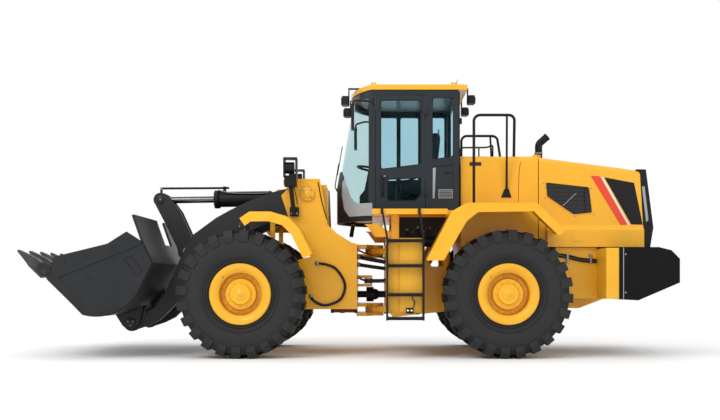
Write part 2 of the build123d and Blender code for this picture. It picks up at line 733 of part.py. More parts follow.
with BuildPart() as bucket_teeth:
    slab([on_floor(0, 0), on_floor(0, 45), on_floor(220, 45), on_floor(300, 5), on_floor(300, 0)],
         side_face - bucket_plate, bucket_plate - side_face)
    reach = side_face - bucket_plate - tooth_half
    spacing = 2 * reach / (tooth_count - 1)
    for number in range(tooth_count):
        centre = number * spacing - reach
        slab([on_floor(120, -50), on_floor(60, 60), on_floor(140, 100), on_floor(330, 80), on_floor(395, 50),
              on_floor(395, -35), on_floor(330, -50)], centre + tooth_half, centre - tooth_half)
        slab([on_floor(360, 70), on_floor(tooth_reach - 110, 40), on_floor(tooth_reach, 0),
              on_floor(tooth_reach, -tooth_tip_drop), on_floor(360, -45)], centre + tip_half,
              centre - tip_half)
    add(bucket.part, mode=Mode.SUBTRACT)
save(bucket_teeth, "bucket_teeth")

with BuildPart() as bucket_pins:
    cross_pair(bucket_hinge, bucket_pin_radius, arm_out + 60, arm_in - 60)
save(bucket_pins, "bucket_pins")

with BuildPart() as link_pin:
    cross_bar(bucket_link_pin, link_pin_radius, plate_out + 10, -plate_out - 10)
save(link_pin, "link_pin")

with BuildPart() as link:
    axis_angle = atan2(bucket_link_pin[1] - bellcrank_low[1], bucket_link_pin[0] - bellcrank_low[0])
    rise = (-sin(axis_angle) * 60, cos(axis_angle) * 60)
    slab([
        (bellcrank_low[0] + rise[0], bellcrank_low[1] + rise[1]),
        (bucket_link_pin[0] + rise[0], bucket_link_pin[1] + rise[1]),
        (bucket_link_pin[0] - rise[0], bucket_link_pin[1] - rise[1]),
        (bellcrank_low[0] - rise[0], bellcrank_low[1] - rise[1])], eye_half, -eye_half)
    cross_bar(bellcrank_low, 85, eye_half, -eye_half)
    cross_bar(bucket_link_pin, 85, eye_half, -eye_half)
    cross_bar(bellcrank_low, link_pin_radius, 80, -80, mode=Mode.SUBTRACT)
    cross_bar(bucket_link_pin, link_pin_radius + turning_fit, 80, -80, mode=Mode.SUBTRACT)
save(link, "bucket_link")


# Cab: a curved-front shell with cut windows, a floor, a roof and glass
def cab_plan(z, nose, inset):
    """Level outline of the cab with a round front."""
    half = cab_half - inset
    with BuildSketch(level(z)) as outline:
        with BuildLine():
            Polyline((cab_side_front, half), (cab_rear + inset, half), (cab_rear + inset, -half),
                     (cab_side_front, -half))
            ThreePointArc((cab_side_front, -half), (nose - inset, 0), (cab_side_front, half))
        make_face()
    return outline.sketch


def cab_body(inset, low, mode=Mode.ADD):
    """Upright lower part and leaning upper part of the cab."""
    extrude(cab_plan(low, cab_nose, inset), amount=cab_waist - low, mode=mode)
    loft([cab_plan(cab_waist, cab_nose, inset), cab_plan(cab_top, cab_nose_top, inset)], mode=mode)


def cab_shell(low):
    """Hollow wall of the cab from a lower edge up."""
    cab_body(0, low)
    cab_body(cab_wall, low, mode=Mode.SUBTRACT)


ahead = cab_nose + 200
beyond = cab_half + 120
trim_top = cab_floor_top + 95
trim_low = nose_low + 67
screen_edge = [(430, cab_floor_top + 550), (290, cab_floor_top + 140), (200, trim_top)]
nose_area = [(cab_side_front, nose_low), (ahead, nose_low), (ahead, cab_floor_top + 620), *screen_edge,
             (cab_side_front, trim_top)]
trim_tip = between(screen_edge[1], screen_edge[0], 328)
trim_area = [(cab_side_front, trim_low), (cab_side_front, trim_top), screen_edge[2], screen_edge[1], trim_tip,
             (425, cab_floor_top + 400), (435, cab_floor_top + 230), (400, cab_floor_top + 30),
             (330, trim_low)]
front_window = [(pillar_front, trim_top), (pillar_front, cab_top - 91), (ahead, cab_top - 91),
                (ahead, cab_floor_top + 620), *screen_edge]
rear_window = [(-560, cab_floor_top + 630), (560, cab_floor_top + 630), (560, window_top), (-560, window_top)]
quarter_window = [(-744, cab_floor_top + 651), (-744, window_top), (-1019, window_top),
                  (-1019, cab_floor_top + 688)]
right_windows = [[(front, cab_floor_top + 530), (front, window_top), (front - 270, window_top),
                  (front - 270, cab_floor_top + 530)] for front in (-60, -370)]
door_opening = [(door_front, cab_floor_top - 5), (door_front, door_top), (door_rear, door_top),
                (door_rear, cab_floor_top - 5)]
hinge_heights = (cab_floor_top + 210, cab_floor_top + 1250)
with BuildPart() as cab_frame:
    cab_shell(cab_floor_top)
    slab(front_window, beyond, -beyond, mode=Mode.SUBTRACT)
    slab(nose_area, beyond, -beyond, mode=Mode.SUBTRACT)
    slab(quarter_window, beyond, -beyond, mode=Mode.SUBTRACT)
    for window in right_windows:
        slab(window, cab_wall * 1.5 - cab_half, -beyond, mode=Mode.SUBTRACT)
    slab(door_opening, beyond, cab_half - cab_wall * 1.5, mode=Mode.SUBTRACT)
    with BuildSketch(across(cab_rear - 20)) as opening:
        with BuildLine():
            Polyline(*rear_window, close=True)
        make_face()
    extrude(opening.sketch, amount=cab_wall * 2, mode=Mode.SUBTRACT)
    slab([(-744, cab_floor_top + 140), (-744, cab_floor_top + 560), (-1019, cab_floor_top + 590),
          (-1019, cab_floor_top + 140)], beyond, cab_half - 15, mode=Mode.SUBTRACT)
    for z in hinge_heights:
        box((door_rear - 40, door_rear), (cab_half - 5, cab_half + 16), (z - 20, z))
        post(door_rear, cab_half + 16, 16, z - 20, z)
        post(door_rear, cab_half + 16, 8, z, z + 60)
save(cab_frame, "cab_frame")

with BuildPart() as cab_nose_wrap:
    cab_shell(nose_low)
    slab(nose_area, beyond, -beyond, mode=Mode.INTERSECT)
    slab(trim_area, beyond, -beyond, mode=Mode.SUBTRACT)
save(cab_nose_wrap, "cab_nose")

with BuildPart() as cab_trim:
    cab_shell(nose_low)
    slab(trim_area, beyond, -beyond, mode=Mode.INTERSECT)
save(cab_trim, "cab_trim")

with BuildPart() as cab_floor:
    extrude(cab_plan(cab_sill, cab_nose, 0), amount=cab_floor_top - cab_sill)
    add(cab_nose_wrap.part, mode=Mode.SUBTRACT)
    add(cab_trim.part, mode=Mode.SUBTRACT)
save(cab_floor, "cab_floor")

with BuildPart() as cab_roof:
    with BuildSketch(level(cab_top)):
        with BuildLine():
            Polyline((40, roof_half), (roof_rear, roof_half), (roof_rear, -roof_half), (40, -roof_half))
            ThreePointArc((40, -roof_half), (roof_front, 0), (40, roof_half))
        make_face()
    extrude(amount=roof_top - cab_top)
    fillet(cab_roof.edges().group_by(Axis.Z)[-1], 20)
    for x in (10, -1030):
        box_pair((x - 35, x + 35), roof_half - 145, roof_half - 160, (roof_top - 5, roof_top + 50))
        cross_bar((x, roof_top + 22), 16, roof_half, -roof_half, mode=Mode.SUBTRACT)
save(cab_roof, "cab_roof")

with BuildPart() as front_glass:
    cab_body(glass_inset, trim_top - 20)
    cab_body(glass_inset + glass_thickness, trim_top - 20, mode=Mode.SUBTRACT)
    slab(front_window, beyond, -beyond, mode=Mode.INTERSECT)
save(front_glass, "front_glass")

glass_out = cab_half - glass_inset
glass_in = glass_out - glass_thickness
with BuildPart() as side_glass:
    slab_pair(quarter_window, glass_out, glass_in)
    for window in right_windows:
        slab(window, -glass_in, -glass_out)
    with BuildSketch(across(cab_rear + glass_inset)) as pane:
        with BuildLine():
            Polyline(*rear_window, close=True)
        make_face()
    extrude(pane.sketch, amount=glass_thickness)
save(side_glass, "side_glass")

door_window = [(-80, cab_floor_top + 526), (-80, door_top - 60), (-600, door_top - 60),
               (-600, cab_floor_top + 588)]
door_low_window = [(-165, cab_floor_top + 122), (-165, cab_floor_top + 400), (-600, cab_floor_top + 420),
                   (-600, cab_floor_top + 190), (-530, cab_floor_top + 122)]
with BuildPart() as door:
    box((door_front - panel_gap, door_rear + panel_gap), (cab_half - cab_wall, cab_half),
        (cab_floor_top + panel_gap, door_top - panel_gap))
    slab(door_window, beyond, cab_half - cab_wall * 1.5, mode=Mode.SUBTRACT)
    slab(door_low_window, beyond, cab_half - cab_wall * 1.5, mode=Mode.SUBTRACT)
    for z in hinge_heights:
        box((door_rear + 10, door_rear + 50), (cab_half - 5, cab_half + 16), (z + turning_fit, z + 60))
        box((door_rear, door_rear + 40), (cab_half + 4, cab_half + 16), (z + turning_fit, z + 60))
        post(door_rear, cab_half + 16, 16, z + turning_fit, z + 60)
        post(door_rear, cab_half + 16, 8 + turning_fit, z - 10, z + 70, mode=Mode.SUBTRACT)
save(door, "door")

with BuildPart() as door_glass:
    slab(door_window, glass_out, glass_in)
    slab(door_low_window, glass_out, glass_in)
save(door_glass, "door_glass")

cushion_low = cab_floor_top + 310
cushion_top = cushion_low + 150
back_height = 670
with BuildPart() as seat:
    box((-700, -500), (-150, 150), (cab_floor_top, cushion_low))
    box((-820, -330), (-260, 260), (cushion_low, cushion_top))
    slab([(-820, cushion_top - 80), (-700, cushion_top), (-780, cushion_top + back_height),
          (-900, cushion_top + back_height)], 250, -250)
save(seat, "seat")

wheel_height = cab_floor_top + 610
with BuildPart() as console:
    rod((130, 0, cab_floor_top + 60), (20, 0, wheel_height), 60)
    slab([(200, cab_floor_top), (200, cab_floor_top + 230), (120, cab_floor_top + 330),
          (60, cab_floor_top + 330),
          (60, cab_floor_top)], 200, -200)
    hand = Vector(pivot_x + 20, 0, wheel_height)
    lean = Vector(20 - 140, 0, wheel_height - cab_floor_top).normalized()
    with BuildSketch(Plane(origin=hand, x_dir=(0, 1, 0), z_dir=(lean.Z, 0, -lean.X))):
        with Locations((210, 0)):
            Circle(16)
    revolve(axis=Axis(hand, lean))
    rod((20, -210, wheel_height), (20, 210, wheel_height), 13)
save(console, "steering_console")

# Deck, tanks, ladders and handrails
with BuildPart() as deck:
    box_pair((cab_side_front, rear_axle_x + 735), deck_out, cab_half, (deck_low, deck_top))
    box_pair((-310, -215), tank_inner + 180, tank_inner + 100, (tank_top, deck_low))
save(deck, "deck")

tank_low = 560
groove_x = -300
with BuildPart() as tanks:
    box_pair((tank_rear, tank_front), tank_out, tank_inner, (tank_low, tank_top))
    box_pair((groove_x - 15, groove_x + 15), tank_out + 5, tank_out - 15, (tank_low, tank_top),
             mode=Mode.SUBTRACT)
save(tanks, "tanks")

rung_heights = (510, 802, 1160, 1470)
with BuildPart() as ladders:
    for left in (1, -1):
        for x in (tank_front - 25, tank_rear):
            box((x, x + 25), (left * tank_out, left * (tank_out + 110)),
                (rung_heights[0] - 40, tank_top + 10))
        for z in rung_heights:
            box((tank_rear, tank_front), (left * (tank_out + 10), left * (tank_out + 110)), (z - 35, z))
save(ladders, "ladders")

# Hood, cowl, bezel, grilles and exhaust
cowl_top = hood_top_front + 15
with BuildPart() as cowl:
    box((cowl_rear, cowl_front), (-hood_half, hood_half), (rear_frame_top + 250, cowl_top))
    fillet([edge for edge in cowl.edges()
            if edge.center().Z > cowl_top - 1 and abs(edge.center().Y) > hood_half - 1], hood_edge)
    box((cowl_rear - 5, cowl_front - hood_wall), (hood_wall - hood_half, hood_half - hood_wall),
        (rear_frame_top + 240, cowl_top - hood_wall), mode=Mode.SUBTRACT)
    box((cowl_front - hood_wall, cowl_front), (-rear_plate_out, rear_plate_out),
        (rear_frame_top, rear_frame_top + 250))
    box((hood_front - 220, cowl_rear + 10), (-130, 130), (hood_top_front - 15, cowl_top))
    post(exhaust_x, 0, exhaust_radius + 10, hood_top_front - 40, hood_top_front + 40, mode=Mode.SUBTRACT)
    for y in (500, -500):
        rod((cowl_rear - 5, y - 50, hinge_z), (cowl_rear - 5, y + 50, hinge_z), 10)
        for end in (y - 50, y + 38):
            box((cowl_rear - 17, cowl_rear + 40), (end, end + 12), (hood_top_front + 5, hinge_z + 12))
save(cowl, "cowl")

rail_top = 3075
foot_top = 2150
foot_plate = 12
with BuildPart() as handrails:
    for left in (1, -1):
        rail([(-1269, left * 900, fender_top), (-1269, left * 900, rail_top), (-1787, left * 900, rail_top),
              (-1820, left * (hood_half - 90), cowl_top)], 18, 80)
        rod((-1690, left * 900, rail_top), (-1712, left * (hood_half + foot_plate), foot_top - 20), 14)
        for start, end in ((-95, tank_front - 12), (-560, tank_rear + 12)):
            box((start - 16, start + 16), (left * deck_out, left * (deck_out + 30)), (deck_low, deck_top))
            rod((start, left * (deck_out + 15), deck_top - 10), (end, left * (tank_out + 55), tank_top + 5),
                12)
    slab_pair([(-1640, foot_top - 110), (-1685, foot_top), (-1740, foot_top), (-1775, foot_top - 110)],
              hood_half + foot_plate, hood_half)
    add(cowl.part, mode=Mode.SUBTRACT)
    add(ladders.part, mode=Mode.SUBTRACT)
save(handrails, "handrails")

hood_back_top = 2391
hood_middle = 603 - rear_reach
hood_outline = [(hood_front, hood_top_front), (hood_middle, 2430), (hood_rear, hood_back_top),
                (hood_rear - 60, hood_bottom), (hood_front, hood_bottom)]
hood_inside = [(cowl_rear, hood_top_front - hood_wall), (hood_middle, 2430 - hood_wall),
               (hood_rear - 160, hood_back_top - 50), (hood_rear - 160, hood_bottom - 10),
               (cowl_rear, hood_bottom - 10)]
grille_area = [(hood_front - 87, 2241), (hood_front - 656, 2178), (hood_front - 697, 1838),
               (hood_front - 448, 1813),
               (hood_front - 101, 2052)]
with BuildPart() as hood:
    slab(hood_outline, hood_half, -hood_half)
    fillet([edge for edge in hood.edges()
            if edge.center().Z > hood_back_top - 10 and abs(edge.center().Y) > hood_half - 1], hood_edge)
    slab(hood_inside, hood_half - hood_wall, hood_wall - hood_half, mode=Mode.SUBTRACT)
    slab(grille_area, hood_half + 10, -hood_half - 10, mode=Mode.SUBTRACT)
    for left in (1, -1):
        beam([(left * (hood_half - 10), hood_crease + 10), (left * hood_half, hood_crease + 10),
              (left * (hood_half + 60), hood_crease - 60), (left * (hood_half + 60), hood_bottom),
              (left * (hood_half - 10), hood_bottom)], (hood_rear - 40, hood_rear + crease_length))
    box((cowl_rear + 5, hood_front - 235), (-140, 140), (hood_top_front - 80, hood_top_front + 20),
        mode=Mode.SUBTRACT)
    for y in (500, -500):
        rod((cowl_rear - 5, y - 36, hinge_z), (cowl_rear - 5, y + 36, hinge_z), 18)
        box((cowl_rear - 60, cowl_rear - 12), (y - 36, y + 36), (hood_top_front - 20, hinge_z + 12))
        rod((cowl_rear - 5, y - 40, hinge_z), (cowl_rear - 5, y + 40, hinge_z), 10 + turning_fit,
            mode=Mode.SUBTRACT)
save(hood, "hood")

bezel_opening = (hood_half - 130, hood_bottom + 110, hood_back_top - 110)
with BuildPart() as bezel:
    slab([(hood_rear, hood_back_top), (hood_rear + 40, hood_back_top + 16),
          (hood_rear - 80, hood_back_top + 14),
          (hood_rear - 177, 1650), (hood_rear - 136, hood_bottom), (hood_rear - 60, hood_bottom)],
          hood_half, -hood_half)
    box((hood_rear + 100, hood_rear - 300), (-bezel_opening[0], bezel_opening[0]), bezel_opening[1:],
        mode=Mode.SUBTRACT)
    add(hood.part, mode=Mode.SUBTRACT)
save(bezel, "hood_bezel")

slat_count = 7
rear_slat_count = 12
with BuildPart() as grilles:
    for number in range(slat_count):
        z = 1840 + number * 55
        box_pair((hood_front - 700, hood_front - 80), hood_half - 4, hood_half - 16, (z, z + 26))
    slab(grille_area, hood_half, -hood_half, mode=Mode.INTERSECT)
    slab_pair(grille_area, hood_half - 14, hood_half - 24)
    pitch = (bezel_opening[2] - bezel_opening[1]) / rear_slat_count
    for number in range(rear_slat_count):
        z = bezel_opening[1] + (number + 0.5) * pitch
        box((hood_rear - 115, hood_rear - 85), (-bezel_opening[0], bezel_opening[0]), (z - 12, z + 12))
    for y in (-bezel_opening[0] / 2, 0, bezel_opening[0] / 2):
        box((hood_rear - 100, hood_rear - 80), (y - 14, y + 14), bezel_opening[1:])
save(grilles, "hood_grilles")

with BuildPart() as exhaust:
    rail([(exhaust_x, 0, engine_top), (exhaust_x, 0, 2830), (exhaust_x - 115, 0, 2930)], exhaust_radius, 80)
save(exhaust, "exhaust")

# Lamps and mirrors
lamp_y = front_plate_out + 95
with BuildPart() as head_lamps:
    for left in (1, -1):
        inner = left * front_plate_out
        box((985, 1100), (inner, inner + left * 75), (1800, 1920))
        rod((1042, left * lamp_y, 1810), (1088, left * lamp_y, 2200), 28)
        box((1010, 1165), (left * (lamp_y - 75), left * (lamp_y + 75)), (2180, 2300))
        box((1001, 1177), (left * (lamp_y - 85), left * (lamp_y + 85)), (2300, 2555))
        box((1021, 1157), (left * (lamp_y - 100), left * (lamp_y + 100)), (2320, 2535), mode=Mode.SUBTRACT)
        rod((1040, left * lamp_y, 2425), (1150, left * lamp_y, 2425), 75)
        post(1090, left * lamp_y, 20, 2290, 2400)
save(head_lamps, "head_lamps")

with BuildPart() as roof_lamps:
    for y in (450, -450):
        box((120, 345), (y - 40, y + 40), (roof_top, roof_top + 10))
        box((330, 345), (y - 40, y + 40), (cab_top - 150, roof_top + 10))
        box((345, 425), (y - 75, y + 75), (cab_top - 150, cab_top - 30))
        box((roof_rear - 40, roof_rear + 100), (y - 40, y + 40), (roof_top, roof_top + 10))
        box((roof_rear - 40, roof_rear - 25), (y - 40, y + 40), (cab_top - 130, roof_top + 10))
        box((roof_rear - 120, roof_rear - 40), (y - 75, y + 75), (cab_top - 130, cab_top - 20))
save(roof_lamps, "roof_lamps")

with BuildPart() as mirrors:
    for left in (1, -1):
        box((-5, 26), (left * cab_half, left * (cab_half + 25)), (cab_top - 200, cab_top - 120))
        rail([(10, left * (cab_half + 14), cab_top - 160), (150, left * (cab_half + 60), cab_top - 150),
              (275, left * (cab_half + 160), cab_top - 170), (275, left * (cab_half + 160), cab_top - 240)],
              13, 40)
        box((255, 295), (left * (cab_half + 70), left * (cab_half + 250)), (cab_top - 540, cab_top - 220))
save(mirrors, "mirrors")

# Lock bar that ties the two frames when it is swung across the pivot
with BuildPart() as lock_bar:
    rod((240, 420, frame_floor - 25), (560, 420, frame_floor - 25), 25)
save(lock_bar, "lock_bar")
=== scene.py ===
"""Looks of the wheel loader: paint, rubber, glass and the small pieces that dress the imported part.

Lengths are in metres in the row frame. Places are first given in millimetres from the centre pivot,
as x forward, y to the driver's left and z up from the ground.
"""
import json
import math

import bmesh
import bpy
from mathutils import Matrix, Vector


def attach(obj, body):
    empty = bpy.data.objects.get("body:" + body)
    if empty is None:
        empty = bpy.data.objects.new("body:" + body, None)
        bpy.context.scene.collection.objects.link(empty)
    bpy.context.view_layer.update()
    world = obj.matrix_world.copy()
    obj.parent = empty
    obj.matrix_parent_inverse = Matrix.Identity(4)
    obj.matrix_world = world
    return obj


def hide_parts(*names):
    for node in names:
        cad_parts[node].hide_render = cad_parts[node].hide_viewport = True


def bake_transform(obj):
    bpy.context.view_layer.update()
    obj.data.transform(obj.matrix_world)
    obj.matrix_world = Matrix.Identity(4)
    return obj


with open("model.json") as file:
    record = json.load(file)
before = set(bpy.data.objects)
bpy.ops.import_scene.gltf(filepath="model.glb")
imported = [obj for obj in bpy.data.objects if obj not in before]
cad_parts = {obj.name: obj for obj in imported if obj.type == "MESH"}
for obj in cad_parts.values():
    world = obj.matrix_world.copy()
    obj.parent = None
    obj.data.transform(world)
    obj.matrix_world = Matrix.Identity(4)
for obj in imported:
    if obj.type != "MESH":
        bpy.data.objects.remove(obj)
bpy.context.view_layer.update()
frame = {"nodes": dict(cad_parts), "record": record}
nodes = frame["nodes"]

# Driving sizes in millimetres, places as (x, z)
pivot_x = -283
axle_x = 1650
axle_z = 795
wheel_y = 1125
hood_half = 700
cab_half = 780
cab_floor = 1870
cab_top = 3421
tank_out = 1250
tank_front = -145
tank_rear = -618
rear_reach = 3790
deck_top = 1860
cowl_top = 2580
frame_out = 585
boom_out = 535
boom_pivot = (875, 2095)
boom_pin_out = 600
lift_base = (720, 730)
lift_eye = (1725, 1675)
lift_y = 300
tilt_base = (1310, 2085)
crank_top = (2903, 2062)
crank_low = (2340, 660)
bucket_hinge = (3185, 415)
bucket_pin_out = 595

side_out = Vector((0, 1, 0))
ahead = Vector((1, 0, 0))
upward = Vector((0, 0, 1))
sides = (("left", 1), ("right", -1))
both_sides = (1, -1)


def at(x, y, z):
    """Point in metres from millimetres measured from the centre pivot."""
    return Vector(((x + pivot_x) / 1000, y / 1000, z / 1000))


def sided(points, left):
    """Points in metres from millimetres, with y counted outward on one side."""
    return [at(x, left * y, z) for x, y, z in points]


def round_spots(centre, radius, count, shift=0.0):
    """Evenly spaced spots on a circle, turned by a share of a step."""
    spots = []
    for number in range(count):
        angle = 2 * math.pi * (number + shift) / count
        spots.append((centre[0] + radius * math.cos(angle), centre[1] + radius * math.sin(angle)))
    return spots


# Materials
def put(node, values):
    """Set a node's inputs by name."""
    for name, value in values.items():
        node.inputs[name].default_value = value


def noise(tree, scale, detail=2):
    """Noise over the object's own coordinates."""
    coords = tree.nodes.get("Texture Coordinate") or tree.nodes.new("ShaderNodeTexCoord")
    made = tree.nodes.new("ShaderNodeTexNoise")
    put(made, {"Scale": scale, "Detail": detail})
    tree.links.new(coords.outputs["Object"], made.inputs["Vector"])
    return made.outputs["Fac"]


def shades(tree, share, first, second, target):
    """Colour between two shades, sent to a shader's input."""
    colour = tree.nodes.new("ShaderNodeMix")
    colour.data_type = "RGBA"
    put(colour, {"A": (*first, 1), "B": (*second, 1)})
    tree.links.new(share, colour.inputs["Factor"])
    tree.links.new(colour.outputs["Result"], target)


def surface(name, dark, light, rough, metallic=0.0, coat=0.0, patch=2.5, grain=300.0, bump=0.06,
            shine=0.5):
    """Paint, plastic, rubber or metal with broad colour patches, uneven gloss and a fine grain."""
    material = bpy.data.materials.new(name)
    material.use_nodes = True
    tree = material.node_tree
    link = tree.links.new
    shader = tree.nodes["Principled BSDF"]
    put(shader, {"Metallic": metallic, "Coat Weight": coat, "Specular IOR Level": shine,
                 "Coat Roughness": 0.12})
    patches = noise(tree, patch, 7)
    shades(tree, patches, dark, light, shader.inputs["Base Color"])
    gloss = tree.nodes.new("ShaderNodeMapRange")
    put(gloss, {"To Min": max(rough - 0.07, 0.02), "To Max": rough + 0.09})
    link(patches, gloss.inputs["Value"])
    link(gloss.outputs["Result"], shader.inputs["Roughness"])
    relief = tree.nodes.new("ShaderNodeBump")
    put(relief, {"Strength": bump, "Distance": 0.002})
    link(noise(tree, grain, 3), relief.inputs["Height"])
    link(relief.outputs["Normal"], shader.inputs["Normal"])
    return material


def clear_sheet(name, tint, deep, gloss_share):
    """Thin tinted glass: mostly see-through, with some mirror on top."""
    material = bpy.data.materials.new(name)
    material.use_nodes = True
    tree = material.node_tree
    link = tree.links.new
    shine = tree.nodes["Principled BSDF"]
    put(shine, {"Base Color": (*deep, 1), "Roughness": 0.04})
    through = tree.nodes.new("ShaderNodeBsdfTransparent")
    shades(tree, noise(tree, 1.4), tint, [0.93 * value for value in tint], through.inputs["Color"])
    blend = tree.nodes.new("ShaderNodeMixShader")
    put(blend, {"Fac": gloss_share})
    link(through.outputs["BSDF"], blend.inputs[1])
    link(shine.outputs["BSDF"], blend.inputs[2])
    link(blend.outputs["Shader"], tree.nodes["Material Output"].inputs["Surface"])
    return material


def woven(name, dark, light):
    """Cloth with a crossed weave."""
    material = surface(name, dark, light, 0.85, grain=900, bump=0.2)
    tree = material.node_tree
    weave = tree.nodes.new("ShaderNodeTexWave")
    put(weave, {"Scale": 160, "Distortion": 1.5})
    tree.links.new(tree.nodes["Texture Coordinate"].outputs["Object"], weave.inputs["Vector"])
    tree.links.new(weave.outputs["Fac"], tree.nodes["Bump"].inputs["Height"])
    return material


yellow = surface("machine_yellow", (0.80, 0.385, 0.012), (0.93, 0.475, 0.02),
        0.34, coat=0.2, bump=0.03, shine=0.35)
grey = surface("boom_grey", (0.012, 0.013, 0.015), (0.026, 0.027, 0.03), 0.42, coat=0.04, shine=0.25)
bucket_black = surface("bucket_black", (0.007, 0.008, 0.009), (0.021, 0.022, 0.024),
        0.42, patch=4, bump=0.12, shine=0.28)
worn_steel = surface("worn_edge", (0.02, 0.02, 0.022), (0.085, 0.085, 0.088),
        0.45, metallic=0.6, patch=9, bump=0.2)
black = surface("satin_black", (0.004, 0.004, 0.005), (0.011, 0.011, 0.012), 0.42, shine=0.2)
ballast_black = surface("ballast_black", (0.003, 0.003, 0.003), (0.008, 0.008, 0.009), 0.5, shine=0.1)
cab_grey = surface("cab_grey", (0.012, 0.016, 0.020), (0.022, 0.028, 0.034), 0.38, coat=0.06, shine=0.25)
silver = surface("trim_silver", (0.26, 0.275, 0.29), (0.38, 0.395, 0.41), 0.38, coat=0.2)
red = surface("signal_red", (0.72, 0.055, 0.022), (0.82, 0.075, 0.032), 0.4, coat=0.1, shine=0.3)
lock_red = surface("dull_red", (0.11, 0.008, 0.008), (0.18, 0.014, 0.012), 0.5)
white = surface("stripe_white", (0.72, 0.72, 0.70), (0.82, 0.82, 0.80), 0.4)
chrome = surface("rod_chrome", (0.10, 0.103, 0.108), (0.16, 0.163, 0.17),
        0.2, metallic=1.0, grain=500, bump=0.02)
steel = surface("pin_steel", (0.22, 0.22, 0.23), (0.34, 0.34, 0.35), 0.36, metallic=0.9, patch=12)
cast = surface("cast_block", (0.035, 0.036, 0.038), (0.07, 0.071, 0.073), 0.6, grain=180, bump=0.3)
rubber = surface("tyre_rubber", (0.012, 0.012, 0.0125), (0.030, 0.030, 0.031),
        0.7, patch=5, grain=220, bump=0.22, shine=0.3)
hose_black = surface("hose_rubber", (0.005, 0.005, 0.005), (0.012, 0.012, 0.013),
        0.5, grain=500, bump=0.15, shine=0.25)
plastic = surface("grained_plastic", (0.006, 0.0065, 0.007), (0.014, 0.015, 0.016),
        0.46, grain=700, bump=0.18, shine=0.25)
glass = clear_sheet("tinted_glass", (0.81, 0.934, 0.966), (0.02, 0.05, 0.055), 0.04)
screen_glass = clear_sheet("windscreen_glass", (0.885, 0.965, 0.972), (0.03, 0.06, 0.06), 0.04)
reflector = surface("lamp_reflector", (0.70, 0.70, 0.70), (0.85, 0.85, 0.84), 0.16, metallic=0.9, patch=30)
amber = surface("amber_lens", (0.75, 0.22, 0.01), (0.9, 0.32, 0.02), 0.2, coat=0.5)
mirror_glass = surface("mirror_face", (0.75, 0.76, 0.78), (0.82, 0.83, 0.85), 0.05, metallic=1.0, bump=0.0)
red_lens = surface("red_lens", (0.42, 0.01, 0.01), (0.6, 0.02, 0.015), 0.15, coat=0.6, patch=40)
mesh_black = surface("grille_black", (0.003, 0.003, 0.003), (0.009, 0.009, 0.009),
        0.55, grain=400, bump=0.2)
tread_black = surface("tread_plate", (0.010, 0.010, 0.010), (0.028, 0.028, 0.028), 0.6, grain=260, bump=0.5)
cloth = woven("seat_cloth", (0.018, 0.018, 0.02), (0.04, 0.04, 0.044))

slot_looks = {
    "yellow_paint": yellow, "dark_grey_paint": grey, "black_paint": black, "cab_grey": cab_grey,
    "trim_silver": silver, "red_paint": lock_red, "rod_chrome": chrome, "pin_steel": steel,
    "cast_block": cast, "tyre_rubber": rubber, "black_plastic": plastic, "tinted_glass": glass,
    "seat_cloth": cloth}
node_looks = {
    "bucket": bucket_black, "bucket_teeth": worn_steel, "tilt_cylinder_barrel": black,
    "lift_cylinder_barrels": black, "steer_barrel_left": black, "steer_barrel_right": black,
    "hood_grilles": mesh_black, "radiator": mesh_black, "front_glass": screen_glass,
    "engine": mesh_black, "counterweight": ballast_black}
edge_widths = {"tyre_rubber": 0.006, "tinted_glass": 0.0, "yellow_paint": 0.006, "dark_grey_paint": 0.006}


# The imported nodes: a finish each, and rounded edges
def joined_skin():
    """Node group that joins split corners and shades by angle, so that edges can be rounded."""
    group = bpy.data.node_groups.new("joined_skin", "GeometryNodeTree")
    group.interface.new_socket("Geometry", in_out="INPUT", socket_type="NodeSocketGeometry")
    group.interface.new_socket("Geometry", in_out="OUTPUT", socket_type="NodeSocketGeometry")
    link = group.links.new
    start = group.nodes.new("NodeGroupInput")
    end = group.nodes.new("NodeGroupOutput")
    drop = group.nodes.new("GeometryNodeRemoveAttribute")
    drop.inputs["Name"].default_value = "custom_normal"
    merge = group.nodes.new("GeometryNodeMergeByDistance")
    merge.inputs["Distance"].default_value = 0.00005
    angle = group.nodes.new("GeometryNodeInputMeshEdgeAngle")
    compare = group.nodes.new("FunctionNodeCompare")
    compare.operation = "LESS_THAN"
    compare.inputs["B"].default_value = math.radians(32)
    shade = group.nodes.new("GeometryNodeSetShadeSmooth")
    shade.domain = "EDGE"
    link(start.outputs["Geometry"], drop.inputs["Geometry"])
    link(drop.outputs["Geometry"], merge.inputs["Geometry"])
    link(merge.outputs["Geometry"], shade.inputs["Geometry"])
    link(angle.outputs["Unsigned Angle"], compare.inputs["A"])
    link(compare.outputs["Result"], shade.inputs["Shade Smooth"])
    link(shade.outputs["Geometry"], end.inputs["Geometry"])
    return group


skin = joined_skin()
for part in frame["record"]["subparts"]:
    node = nodes[part["node"]]
    node.data.materials.clear()
    node.data.materials.append(node_looks.get(part["node"], slot_looks[part["material_slot"]]))
    join = node.modifiers.new("Joined", "NODES")
    join.node_group = skin
    width = edge_widths.get(part["material_slot"], 0.003)
    if width:
        edge = node.modifiers.new("Edge", "BEVEL")
        edge.width = width
        edge.segments = 2
        edge.limit_method = "ANGLE"
        edge.angle_limit = math.radians(35)
        edge.harden_normals = True


